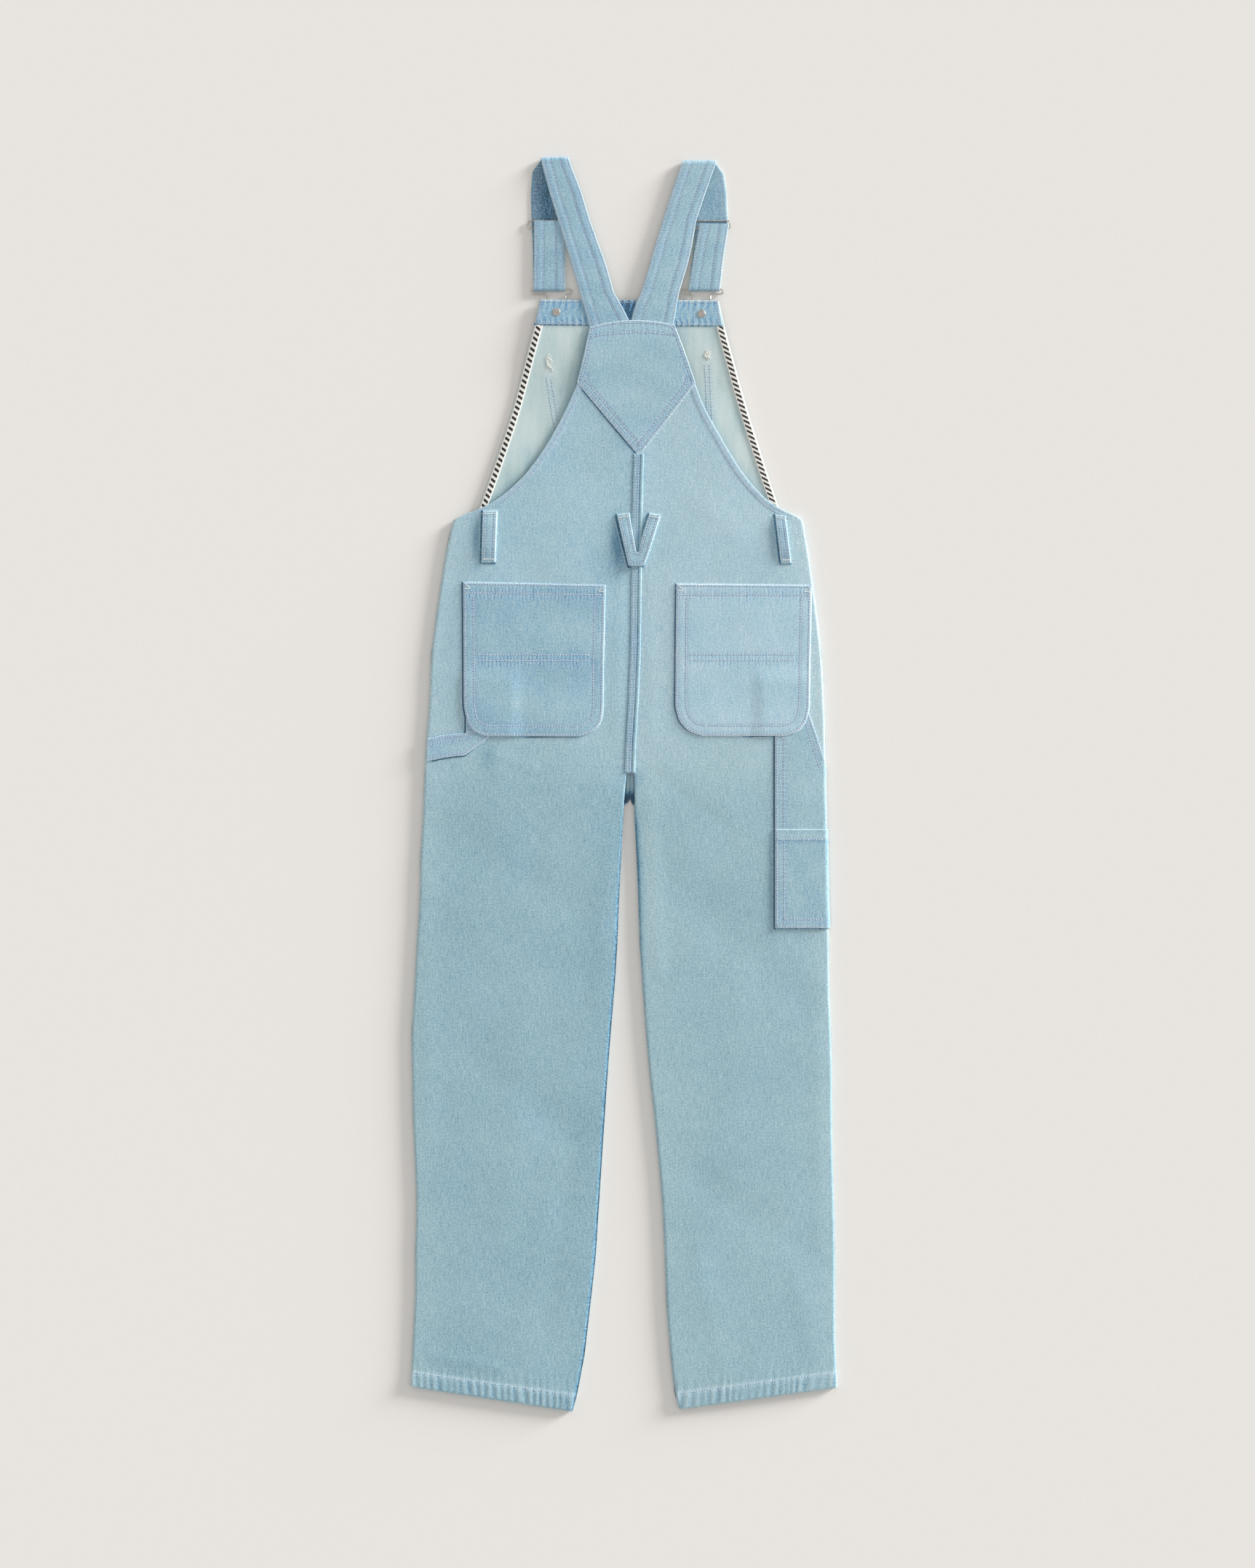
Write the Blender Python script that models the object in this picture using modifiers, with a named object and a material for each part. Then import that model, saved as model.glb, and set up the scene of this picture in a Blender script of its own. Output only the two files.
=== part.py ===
# Denim bib overalls, laid flat on their front with the back side up.
# +X is right and +Y is toward the straps as seen from above, +Z is up, and z = 0 is the surface.
# Tables are in millimetres and the meshes are in metres.

import math

import bmesh
import bpy
from mathutils import Vector

# Driving sizes, in millimetres
mm = 0.001
seamGap = 0.3
clothWall = 1.2
trimWall = 1.0
seamBandWall = 0.8
loopWall = 1.5
legHeight = 5.8
crownHeight = 0.5
crownFadeStart = 260.0
crownFadeEnd = 400.0
sideSeamGap = 0.5
curlRadius = legHeight / 2 - sideSeamGap / 2
frontSeamX = 7.9
yokeRise = 2.7
yokeRiseStart = 430.0
yokeRiseEnd = 545.0
bibHeight = 2.7
bibRise = 2.9
bibRiseStart = 470.0
bibRiseEnd = 548.0
tapeWidth = 10.0
seamBandHalf = 6.0
beltLoopArch = 1.6
strapFoldRadius = 3.15
strapEndRadius = 2.35
wireRadius = 0.85
cornerLift = 1.3

# Angles of the columns that turn round a folded side edge, in degrees
curlAngles = (0.0, 10.0, 35.0, 62.0, 90.0)
flatShares = (0.1, 0.22, 0.34, 0.46, 0.58, 0.7, 0.82, 0.92)
frontShares = (0.3, 0.7)
flatEdgeWidth = 5.0

# One row for each section across the legs and the seat, from the hems to the yoke.
# outer is a side edge, inner an inseam or the centre-back seam, left and right as seen.
# sideCurl and innerCurl say how far the cloth turns down round the folded edges there.
sectionNames = (
    "outerLeftX", "outerLeftY", "innerLeftX", "innerLeftY",
    "innerRightX", "innerRightY", "outerRightX", "outerRightY", "sideCurl", "innerCurl",
)
sectionRows = (
    (-257.3, -728.6, -61.6, -758.2, 67.8, -755.9, 257.6, -729.5, 1.0, 1.0),
    (-256.1, -711.0, -56.5, -740.0, 62.0, -737.5, 257.0, -711.0, 1.0, 1.0),
    (-254.3, -670.6, -47.0, -690.0, 56.8, -690.0, 255.2, -670.6, 1.0, 1.0),
    (-251.7, -617.8, -39.5, -625.0, 51.7, -625.0, 255.2, -617.8, 1.0, 1.0),
    (-251.7, -565.0, -33.5, -570.0, 50.0, -570.0, 255.2, -565.0, 1.0, 1.0),
    (-249.9, -512.2, -30.0, -514.0, 47.5, -514.0, 254.3, -512.2, 1.0, 1.0),
    (-251.7, -459.4, -26.5, -460.0, 43.0, -460.0, 252.6, -459.4, 1.0, 1.0),
    (-254.3, -406.6, -23.0, -407.0, 38.0, -407.0, 251.7, -406.6, 1.0, 1.0),
    (-255.2, -353.8, -19.5, -354.0, 32.0, -354.0, 251.7, -353.8, 1.0, 1.0),
    (-256.1, -301.0, -15.5, -301.0, 27.3, -301.0, 250.8, -301.0, 1.0, 1.0),
    (-252.6, -248.2, -11.0, -248.0, 23.3, -248.0, 248.2, -248.2, 1.0, 1.0),
    (-249.9, -195.4, -7.5, -195.0, 19.7, -195.0, 248.2, -195.4, 1.0, 1.0),
    (-246.4, -142.6, -5.8, -143.0, 18.0, -143.0, 246.4, -142.6, 1.0, 1.0),
    (-245.5, -89.8, -3.0, -90.0, 16.0, -90.0, 245.5, -89.8, 1.0, 1.0),
    (-242.0, -37.0, -0.3, -37.0, 12.8, -37.0, 244.6, -37.0, 1.0, 0.8),
    (-241.1, -0.9, 2.0, -0.9, 13.6, 1.8, 243.8, -0.9, 1.0, 0.3),
    (-238.5, 51.0, 8.45, 45.0, 8.75, 45.0, 243.8, 51.0, 1.0, 0.0),
    (-234.1, 103.8, 11.85, 100.0, 12.15, 100.0, 242.0, 103.8, 1.0, 0.0),
    (-232.3, 156.6, 14.25, 156.0, 14.55, 156.0, 239.4, 156.6, 1.0, 0.0),
    (-225.3, 209.4, 15.05, 209.0, 15.35, 209.0, 233.2, 209.4, 1.0, 0.0),
    (-217.4, 262.2, 15.65, 262.0, 15.95, 262.0, 226.2, 262.2, 1.0, 0.0),
    (-211.2, 297.4, 16.05, 297.0, 16.35, 297.0, 220.9, 297.4, 1.0, 0.0),
    (-205.0, 319.4, 16.35, 315.0, 16.65, 315.0, 216.5, 319.4, 1.0, 0.0),
    (-191.0, 326.9, 16.45, 325.0, 16.75, 325.0, 205.0, 326.2, 0.5, 0.0),
    (-165.4, 334.4, 16.65, 335.0, 16.95, 335.0, 179.5, 336.2, 0.0, 0.0),
    (-129.4, 361.7, 17.05, 352.0, 17.35, 352.0, 149.6, 367.0, 0.0, 0.0),
    (-105.6, 389.8, 17.45, 368.0, 17.75, 368.0, 129.4, 397.8, 0.0, 0.0),
    (-86.2, 420.6, 17.85, 380.0, 18.15, 380.0, 110.9, 431.2, 0.0, 0.0),
    (-69.5, 452.3, 18.15, 390.0, 18.45, 390.0, 98.1, 452.3, 0.0, 0.0),
    (-55.4, 484.5, 18.35, 399.0, 18.65, 399.0, 86.2, 484.0, 0.0, 0.0),
)
crotchSection = 15
topFrontSection = 23

# Long shallow folds that lie in the back of the legs and seat
foldNames = ("startX", "startY", "endX", "endY", "halfWidth", "height")
foldRows = (
    (33.0, -20.0, 44.0, -230.0, 9.0, 0.35),
    (-231.0, -690.0, -150.0, -706.0, 8.0, 0.35),
    (-210.0, -60.0, -60.0, -150.0, 26.0, -0.7),
    (60.0, -120.0, 205.0, -260.0, 28.0, -0.6),
    (-190.0, -330.0, -70.0, -420.0, 24.0, -0.6),
    (90.0, -480.0, 220.0, -560.0, 24.0, -0.7),
)

# Outlines with a row for each level: left x and y, then right x and y
bibRows = (
    (-177.0, 328.0, 189.5, 329.5),
    (-163.5, 365.0, 175.5, 371.0),
    (-152.2, 397.8, 162.8, 411.0),
    (-143.0, 425.0, 152.0, 445.0),
    (-134.2, 452.3, 141.7, 480.5),
    (-121.0, 503.0, 132.0, 516.0),
    (-114.0, 530.0, 126.5, 535.0),
    (-107.4, 554.4, 122.3, 552.6),
    (-101.2, 584.8, 115.0, 583.8),
)
bibPocketRows = (
    (-77.0, 365.0, 107.5, 368.0),
    (-83.6, 431.2, 104.7, 436.5),
    (-92.8, 504.2, 100.8, 509.0),
)
bibFacingRows = (
    (-106.8, 555.3, 119.4, 553.5),
    (-100.8, 584.8, 114.4, 583.8),
)
yokeRows = (
    (17.4, 400.6, 19.8, 400.6),
    (-18.0, 442.0, 52.0, 441.5),
    (-55.4, 485.6, 86.2, 485.0),
    (-47.5, 520.0, 74.0, 522.0),
    (-40.8, 551.8, 62.0, 554.0),
)
yokePeak = 7.0
backPocketLeftRows = (
    (-167.2, 58.0, -53.7, 57.2),
    (-180.0, 62.5, -37.0, 62.5),
    (-188.5, 73.0, -27.5, 73.0),
    (-192.7, 93.3, -24.6, 88.0),
    (-192.9, 120.0, -24.2, 120.0),
    (-193.0, 146.0, -24.0, 146.0),
    (-193.3, 190.0, -23.0, 190.0),
    (-193.5, 228.0, -22.3, 226.0),
    (-193.6, 243.8, -22.0, 240.2),
)
backPocketRightRows = (
    (95.0, 58.0, 195.4, 58.0),
    (78.5, 63.0, 211.5, 63.5),
    (67.0, 76.0, 220.5, 74.5),
    (62.5, 93.3, 224.2, 90.2),
    (62.8, 120.0, 224.6, 120.0),
    (63.0, 146.0, 225.0, 146.0),
    (63.3, 190.0, 226.0, 190.0),
    (63.8, 226.0, 226.5, 226.0),
    (63.9, 241.6, 226.6, 239.9),
)
beltLoopLeftEnds = (-171.6, 267.5, -154.9, 267.5, -169.8, 330.0, -152.6, 330.0)
beltLoopRightEnds = (190.1, 266.6, 202.4, 266.6, 183.0, 325.0, 195.4, 324.0)

# The loop at the centre back is one strip laid in a V, so its rows go round the point
backLoopNames = ("outerX", "outerY", "innerX", "innerY", "lift")
backLoopRows = (
    (-7.9, 325.0, 7.0, 327.5, 0.0),
    (-1.0, 294.0, 11.2, 303.0, 1.1),
    (6.2, 263.1, 15.6, 280.0, 1.1),
    (25.1, 263.5, 18.2, 280.0, 1.1),
    (35.2, 294.0, 23.6, 303.0, 1.1),
    (44.9, 325.0, 31.2, 326.5, 0.0),
)

# The hammer loop comes from under the pocket, turns the corner and runs to the side seam
hammerLoopRows = (
    (-190.1, 100.0, -161.0, 100.0),
    (-190.1, 63.0, -161.0, 60.0),
    (-190.6, 61.6, -161.5, 57.0),
    (-191.3, 61.3, -176.5, 45.7),
    (-192.2, 61.0, -191.8, 34.3),
    (-203.3, 61.0, -205.0, 33.4),
    (-222.0, 58.5, -222.0, 30.5),
    (-237.5, 54.6, -237.0, 27.3),
)

# The tool pocket turns round the side of the right leg, and its hem slants down to the side edge
toolPocketRearX = 183.0
toolPocketBottomY = -174.0
toolPocketTopY = 110.0
toolHemStartX = 217.0
toolHemSlope = 3.2
smallPocketRearX = 183.4
smallPocketTopY = -54.5
sidePocketShares = (0.3, 0.65, 1.0)
toolPocketRowShares = (0.0, 0.11, 0.3, 0.48, 0.66, 0.84, 1.0)
smallPocketRowShares = (0.0, 0.27, 0.7, 1.0)

# A strap runs from the yoke over the shoulder fold, down to the bib and back up through itself
strapNames = ("leftX", "leftY", "rightX", "rightY", "top")
strapLeftBackRows = (
    (-41.2, 552.9, 6.6, 560.2, 8.5),
    (-47.5, 575.0, -2.5, 578.0, 8.5),
    (-52.8, 593.1, -11.4, 593.1, 8.4),
    (-62.5, 627.4, -21.1, 627.4, 7.6),
    (-70.0, 652.0, -30.0, 652.0, 6.7),
    (-79.2, 681.1, -40.5, 681.1, 6.3),
    (-90.0, 716.0, -50.5, 714.0, 6.3),
    (-100.0, 754.5, -66.0, 754.8, 6.3),
)
strapLeftFrontRows = (
    (-110.0, 741.0, -70.5, 741.0),
    (-112.0, 715.0, -73.0, 715.0),
    (-111.0, 681.0, -72.5, 681.0),
    (-109.5, 640.0, -71.0, 640.0),
    (-109.0, 598.0, -70.4, 598.0),
)
strapLeftEndRows = (
    (-108.2, 640.0, -70.4, 640.0),
    (-108.2, 680.5, -70.4, 680.5),
)
strapRightBackRows = (
    (9.2, 560.2, 60.5, 555.0, 8.5),
    (14.0, 578.0, 64.0, 574.0, 8.5),
    (21.1, 593.1, 66.9, 593.1, 8.4),
    (31.7, 627.4, 77.4, 627.4, 7.6),
    (38.5, 652.0, 83.0, 652.0, 6.7),
    (47.5, 681.1, 88.0, 681.1, 6.3),
    (58.0, 714.0, 99.0, 714.0, 6.3),
    (70.5, 750.5, 112.0, 750.8, 6.3),
)
strapRightFrontRows = (
    (82.0, 738.0, 121.0, 738.0),
    (85.0, 715.0, 124.5, 715.0),
    (88.0, 681.0, 126.0, 681.0),
    (83.5, 640.0, 121.0, 640.0),
    (78.3, 598.0, 116.5, 598.0),
)
strapRightEndRows = (
    (85.0, 640.0, 121.5, 640.0),
    (92.2, 677.5, 127.6, 677.0),
)
turnAngles = (60.0, 30.0, 0.0, -30.0, -60.0, -90.0)

# Buckle and slider wires, as points along one side of the strap's middle line
sliderLeftCorners = (-115.2, 671.4, -62.5, 681.0)
sliderRightCorners = (76.6, 671.4, 128.6, 681.0)
sliderCornerRadius = 2.5
buckleHalfWidth = 24.5
buckleBarY = 598.0
buckleShoulderY = 592.4
buckleNeckHalf = 11.0
buckleNeckY = 586.0
buttonLeft = (-81.0, 570.0)
buttonRight = (94.2, 568.0)
keyholeRadius = 3.4
keyholeWireZ = 3.1
buttonHeadRadius = 8.5
buttonHeadHeight = 1.9
buttonShankRadius = 2.2
buttonShankTop = 4.1
tackRadius = 4.85
tackHeight = 0.9
tackBase = 7.2

denimColour = (0.30, 0.42, 0.56)
denimDarkColour = (0.20, 0.33, 0.50)
denimInsideColour = (0.52, 0.56, 0.55)
tapeColour = (0.70, 0.68, 0.62)
metalColour = (0.55, 0.55, 0.54)
clothRoughness = 0.92
metalRoughness = 0.35


def named(names, row):
    return dict(zip(names, row))


def smooth(value, start, end):
    share = min(max((value - start) / (end - start), 0.0), 1.0)
    return share * share * (3 - 2 * share)


def foldHeight(x, y):
    height = 0.0
    for row in foldRows:
        fold = named(foldNames, row)
        start = Vector((fold["startX"], fold["startY"]))
        along = Vector((fold["endX"], fold["endY"])) - start
        share = (Vector((x, y)) - start).dot(along) / along.length_squared
        nearest = start + along * min(max(share, 0.0), 1.0)
        distance = (Vector((x, y)) - nearest).length / fold["halfWidth"]
        height += fold["height"] * math.exp(-distance * distance)
    return height


def railX(rail, y):
    # The x of a rail of the section table, such as outerRight, at a height
    for low, high in zip(sectionRows, sectionRows[1:]):
        lower = named(sectionNames, low)
        upper = named(sectionNames, high)
        if lower[rail + "Y"] <= y <= upper[rail + "Y"]:
            share = (y - lower[rail + "Y"]) / (upper[rail + "Y"] - lower[rail + "Y"])
            return lower[rail + "X"] + share * (upper[rail + "X"] - lower[rail + "X"])
    end = sectionRows[0] if y < 0 else sectionRows[-1]
    return named(sectionNames, end)[rail + "X"]


def crown(x, y):
    # Each half of the back is a little higher between its edges, below the armholes
    side = "Left" if x < railX("innerLeft", y) else "Right"
    outer = railX("outer" + side, y)
    inner = railX("inner" + side, y)
    offset = (x - (outer + inner) / 2) / ((outer - inner) / 2)
    return crownHeight * max(0.0, 1 - offset * offset) * (1 - smooth(y, crownFadeStart, crownFadeEnd))


def backTop(x, y):
    rise = yokeRise * smooth(y, yokeRiseStart, yokeRiseEnd)
    return legHeight + rise + crown(x, y) + foldHeight(x, y)


def bibTop(x, y):
    return bibHeight + bibRise * smooth(y, bibRiseStart, bibRiseEnd)


def makeMaterial(name, colour, roughness, metallic):
    material = bpy.data.materials.new(name)
    material.use_nodes = True
    shader = material.node_tree.nodes["Principled BSDF"]
    shader.inputs["Base Color"].default_value = (*colour, 1.0)
    shader.inputs["Roughness"].default_value = roughness
    shader.inputs["Metallic"].default_value = metallic
    return material


def addObject(name, data, colour, metallic=0.0):
    item = bpy.data.objects.new(name, data)
    roughness = metalRoughness if metallic else clothRoughness
    data.materials.append(makeMaterial(name, colour, roughness, metallic))
    garment.objects.link(item)
    item.parent = root
    return item


def addSheet(name, points, wall, colour, facing=1):
    # A flat grid takes the given points, row by row, and becomes a cloth wall behind them
    rows = len(points)
    columns = len(points[0])
    bm = bmesh.new()
    bmesh.ops.create_grid(bm, x_segments=columns - 1, y_segments=rows - 1, size=0.5)
    for vertex in bm.verts:
        column = round((vertex.co.x + 0.5) * (columns - 1))
        row = round((vertex.co.y + 0.5) * (rows - 1))
        vertex.co = Vector(points[row][column]) * mm
    bm.normal_update()
    if sum(face.normal.z * face.calc_area() for face in bm.faces) * facing < 0:
        bmesh.ops.reverse_faces(bm, faces=bm.faces[:])
    mesh = bpy.data.meshes.new(name)
    bm.to_mesh(mesh)
    bm.free()
    item = addObject(name, mesh, colour)
    mesh.shade_smooth()
    shell = item.modifiers.new("ClothWall", "SOLIDIFY")
    shell.thickness = wall * mm
    shell.offset = -1.0
    shell.use_even_offset = True
    return item


def between(start, end, share):
    return tuple(a + (b - a) * share for a, b in zip(start, end))


def ruledPoints(rows, shares, height, lift):
    # Straight rows from the left edge to the right edge, lying at a height above the surface
    points = []
    for row in rows:
        line = []
        for share in shares:
            x, y = between(row[0:2], row[2:4], share)
            line.append((x, y, height(x, y) + lift))
        points.append(line)
    return points


def turned(start, end, startCurl, endCurl, shares):
    # Columns across a flattened tube: round the start edge, over the flat, round the end edge.
    # Each column gives its plan position and how far it drops below the flat.
    width = math.dist(start, end)
    columns = []
    for curl in (startCurl, endCurl):
        turn = []
        for angle in curlAngles:
            reach = curlRadius * (1 - math.cos(math.radians(angle)))
            flatReach = flatEdgeWidth * angle / curlAngles[-1]
            drop = curlRadius * (1 - math.sin(math.radians(angle)))
            turn.append((reach * curl + flatReach * (1 - curl), drop * curl))
        columns.append(turn)
    startColumns, endColumns = columns
    across = startColumns + [(width * share, 0.0) for share in shares]
    across += [(width - reach, drop) for reach, drop in reversed(endColumns)]
    return [(*between(start, end, reach / width), drop) for reach, drop in across]


def legPoints(side, back):
    # The back rows reach the yoke, and the front rows end under the bottom edge of the bib
    points = []
    lastRow = len(sectionRows) if back else topFrontSection + 1
    for number, row in enumerate(sectionRows[:lastRow]):
        section = named(sectionNames, row)
        outer = (section["outer" + side + "X"], section["outer" + side + "Y"])
        inner = (section["inner" + side + "X"], section["inner" + side + "Y"])
        innerCurl = section["innerCurl"]
        if not back and number >= crotchSection:
            shift = -seamGap / 2 if side == "Left" else seamGap / 2
            inner = (frontSeamX + shift, inner[1])
            innerCurl = 0.0
        shares = flatShares if back else frontShares
        columns = turned(outer, inner, section["sideCurl"], innerCurl, shares)
        if back:
            points.append([(x, y, backTop(x, y) - drop) for x, y, drop in columns])
        else:
            points.append([(x, y, drop) for x, y, drop in columns])
    return points


def toolPocketTop(x):
    return toolPocketTopY - toolHemSlope * max(x - toolHemStartX, 0.0)


def smallPocketTop(x):
    return smallPocketTopY


def sidePocketPoints(rearX, topOf, rowShares, outset):
    # A pocket on the right leg whose outer columns turn round the side with the leg
    radius = curlRadius + outset
    crotchEdge = railX("outerRight", 0.0)
    columns = []
    for angle in curlAngles:
        reach = curlRadius - radius * math.cos(math.radians(angle))
        columns.append((reach, 0.0, radius * (1 - math.sin(math.radians(angle)))))
    columns += [(curlRadius, share, 0.0) for share in sidePocketShares]
    points = []
    for rowShare in rowShares:
        line = []
        for reach, share, drop in columns:
            top = topOf(crotchEdge - reach - (crotchEdge - reach - rearX) * share)
            y = toolPocketBottomY + (top - toolPocketBottomY) * rowShare
            edge = railX("outerRight", y) - reach
            x = edge - (edge - rearX) * share
            line.append((x, y, backTop(x, y) + outset - drop))
        points.append(line)
    return points


def addPanels():
    for side in ("Left", "Right"):
        name = side.lower()
        addSheet("back_panel_" + name, legPoints(side, True), clothWall, denimColour)
        addSheet("front_panel_" + name, legPoints(side, False), clothWall, denimColour, facing=-1)
    bandRows = []
    for row in sectionRows[crotchSection:]:
        section = named(sectionNames, row)
        y = min(max(section["innerLeftY"], 14.0), 391.0)
        x = (section["innerLeftX"] + section["innerRightX"]) / 2
        bandRows.append((x - seamBandHalf, y, x + seamBandHalf, y))
    band = ruledPoints(bandRows[:-1], (0.0, 0.5, 1.0), backTop, seamGap + seamBandWall)
    addSheet("center_back_seam", band, seamBandWall, denimColour)


def addBib():
    shares = (0.0, 0.15, 0.32, 0.5, 0.68, 0.85, 1.0)
    addSheet("bib", ruledPoints(bibRows, shares, bibTop, 0.0), clothWall, denimInsideColour)
    flat = ruledPoints(bibPocketRows, (0.0, 0.5, 1.0), lambda x, y: 0.0, 0.0)
    addSheet("bib_pocket", flat, clothWall, denimColour, facing=-1)
    raised = seamGap + trimWall
    facing = ruledPoints(bibFacingRows, (0.0, 0.25, 0.5, 0.75, 1.0), bibTop, raised)
    addSheet("bib_facing", facing, trimWall, denimDarkColour)
    facingLeftY = bibFacingRows[0][1] - 2 * seamGap
    facingRightY = bibFacingRows[0][3] - 2 * seamGap
    leftTape = []
    rightTape = []
    for row in bibRows[:-1]:
        width = math.dist(row[0:2], row[2:4])
        left = (row[0], min(row[1], facingLeftY))
        right = (row[2], min(row[3], facingRightY))
        leftTape.append((*left, *between(left, right, tapeWidth / width)))
        rightTape.append((*between(right, left, tapeWidth / width), *right))
    for name, rows in (("bib_tape_left", leftTape), ("bib_tape_right", rightTape)):
        addSheet(name, ruledPoints(rows, (0.0, 0.5, 1.0), bibTop, raised), trimWall, tapeColour)


def addYoke():
    shares = tuple(index / 8 for index in range(9))
    points = ruledPoints(yokeRows, shares, backTop, 0.0)
    top = []
    for share, (x, y, z) in zip(shares, points[-1]):
        top.append((x, y + yokePeak * (1 - abs(2 * share - 1)), z))
    points[-1] = top
    addSheet("yoke", points, clothWall, denimColour)


def pocketLift(x, y, cornerX):
    # The outer lower corner stands higher, over what is sewn on beneath it
    nearSide = 1 - smooth(abs(x - cornerX), 54.0, 74.0)
    return cornerLift * nearSide * (1 - smooth(y, 121.0, 145.0))


def addBackPockets():
    shares = (0.0, 0.18, 0.33, 0.5, 0.67, 0.82, 1.0)
    raised = seamGap + clothWall
    pockets = (
        ("back_pocket_left", backPocketLeftRows, -193.0),
        ("back_pocket_right", backPocketRightRows, 225.0),
    )
    for name, rows, cornerX in pockets:
        points = []
        for line in ruledPoints(rows, shares, backTop, raised):
            points.append([(x, y, z + pocketLift(x, y, cornerX)) for x, y, z in line])
        addSheet(name, points, clothWall, denimColour)


def addBeltLoops():
    for name, ends in (("belt_loop_left", beltLoopLeftEnds), ("belt_loop_right", beltLoopRightEnds)):
        bottom, top = ends[0:4], ends[4:8]
        points = []
        for share in (0.0, 0.1, 0.3, 0.5, 0.7, 0.9, 1.0):
            row = between(bottom, top, share)
            arch = beltLoopArch * smooth(min(share, 1 - share), 0.0, 0.3)
            points += ruledPoints([row], (0.0, 0.5, 1.0), backTop, seamGap + loopWall + arch)
        addSheet(name, points, loopWall, denimColour)
    points = []
    for row in backLoopRows:
        line = named(backLoopNames, row)
        edges = (line["outerX"], line["outerY"], line["innerX"], line["innerY"])
        lift = seamGap + loopWall + line["lift"]
        points += ruledPoints([edges], (0.0, 0.5, 1.0), backTop, lift)
    addSheet("belt_loop_back", points, loopWall, denimColour)


def addSewnStraps():
    raised = seamGap + trimWall
    points = ruledPoints(hammerLoopRows, (0.0, 0.5, 1.0), backTop, raised)
    addSheet("hammer_loop", points, trimWall, denimDarkColour)
    tool = sidePocketPoints(toolPocketRearX, toolPocketTop, toolPocketRowShares, raised)
    addSheet("tool_pocket", tool, trimWall, denimColour)
    small = sidePocketPoints(smallPocketRearX, smallPocketTop, smallPocketRowShares, 2 * raised)
    addSheet("tool_pocket_small", small, trimWall, denimColour)


def turnRows(row, radius, forward):
    # Half a turn of the strap round a bar or fold line, forward toward +Y or back toward -Y
    rows = []
    for angle in turnAngles:
        reach = radius * math.cos(math.radians(angle)) * forward
        height = radius + radius * math.sin(math.radians(angle)) * forward
        rows.append((row[0], row[1] + reach, row[2], row[3] + reach, height))
    return rows


def addStraps():
    straps = (
        ("strap_left", strapLeftBackRows, strapLeftFrontRows, strapLeftEndRows),
        ("strap_right", strapRightBackRows, strapRightFrontRows, strapRightEndRows),
    )
    for name, backRun, frontRun, endRun in straps:
        rows = list(backRun)
        rows += turnRows(backRun[-1], strapFoldRadius, 1)
        rows += [(*row, 0.0) for row in frontRun]
        rows += turnRows(frontRun[-1], strapEndRadius, -1)
        rows += [(*row, 2 * strapEndRadius) for row in endRun]
        points = []
        for row in rows:
            strap = named(strapNames, row)
            left = (strap["leftX"], strap["leftY"])
            right = (strap["rightX"], strap["rightY"])
            points.append([(*between(left, right, share), strap["top"]) for share in (0.0, 0.33, 0.67, 1.0)])
        addSheet(name, points, clothWall, denimColour)


def addWire(name, path):
    # A closed metal wire through the given points
    curve = bpy.data.curves.new(name, "CURVE")
    curve.dimensions = "3D"
    curve.bevel_depth = wireRadius * mm
    curve.bevel_resolution = 2
    curve.use_fill_caps = True
    spline = curve.splines.new("POLY")
    spline.points.add(len(path) - 1)
    for point, position in zip(spline.points, path):
        point.co = (*(Vector(position) * mm), 1.0)
    spline.use_cyclic_u = True
    return addObject(name, curve, metalColour, metallic=1.0)


def addSliders():
    for name, corners in (("slider_left", sliderLeftCorners), ("slider_right", sliderRightCorners)):
        left, bottom, right, top = corners
        radius = sliderCornerRadius
        centres = (
            (right - radius, top - radius, 0.0),
            (left + radius, top - radius, 90.0),
            (left + radius, bottom + radius, 180.0),
            (right - radius, bottom + radius, 270.0),
        )
        path = []
        for centreX, centreY, first in centres:
            for step in (0.0, 45.0, 90.0):
                angle = math.radians(first + step)
                x = centreX + radius * math.cos(angle)
                y = centreY + radius * math.sin(angle)
                path.append((x, y, strapEndRadius))
        addWire(name, path)


def addBuckles():
    # The bar sits in the strap, and the wires close in to the keyhole round the button's shank
    for name, button, middle in (("buckle_left", buttonLeft, -86.6), ("buckle_right", buttonRight, 96.0)):
        path = []
        for side in (1, -1):
            edge = middle + side * buckleHalfWidth
            neck = button[0] + side * buckleNeckHalf
            half = [
                (edge - side * 2.8, buckleBarY, strapEndRadius),
                (edge - side * 0.6, buckleBarY - 0.9, strapEndRadius),
                (edge, (buckleBarY + buckleShoulderY) / 2, strapEndRadius),
                (edge - side * 0.6, buckleShoulderY + 0.9, strapEndRadius),
                (edge - side * 2.8, buckleShoulderY, strapEndRadius),
                (neck + side * 2.0, buckleShoulderY, strapEndRadius),
                (neck, buckleShoulderY - 2.0, strapEndRadius + 0.2),
                (neck, buckleNeckY, keyholeWireZ),
                (button[0] + side * (keyholeRadius + 1.6), button[1] + 6.0, keyholeWireZ),
                (button[0] + side * keyholeRadius, button[1] + 1.0, keyholeWireZ),
                (button[0] + side * keyholeRadius * 0.75, button[1] - keyholeRadius * 0.65, keyholeWireZ),
            ]
            if side == 1:
                path += half
                path.append((button[0], button[1] - keyholeRadius, keyholeWireZ))
            else:
                path += reversed(half)
        addWire(name, path)


def addTurned(name, profile, location):
    # The profile runs down the outer side, from the axis at the top to the axis at the bottom
    bm = bmesh.new()
    vertices = [bm.verts.new((radius * mm, 0.0, height * mm)) for radius, height in profile]
    for first, second in zip(vertices, vertices[1:]):
        bm.edges.new((first, second))
    mesh = bpy.data.meshes.new(name)
    bm.to_mesh(mesh)
    bm.free()
    item = addObject(name, mesh, metalColour, metallic=1.0)
    item.location = Vector(location) * mm
    screw = item.modifiers.new("Turn", "SCREW")
    screw.steps = 20
    screw.render_steps = 20
    screw.use_merge_vertices = True
    screw.merge_threshold = 0.0001
    return item


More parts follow.
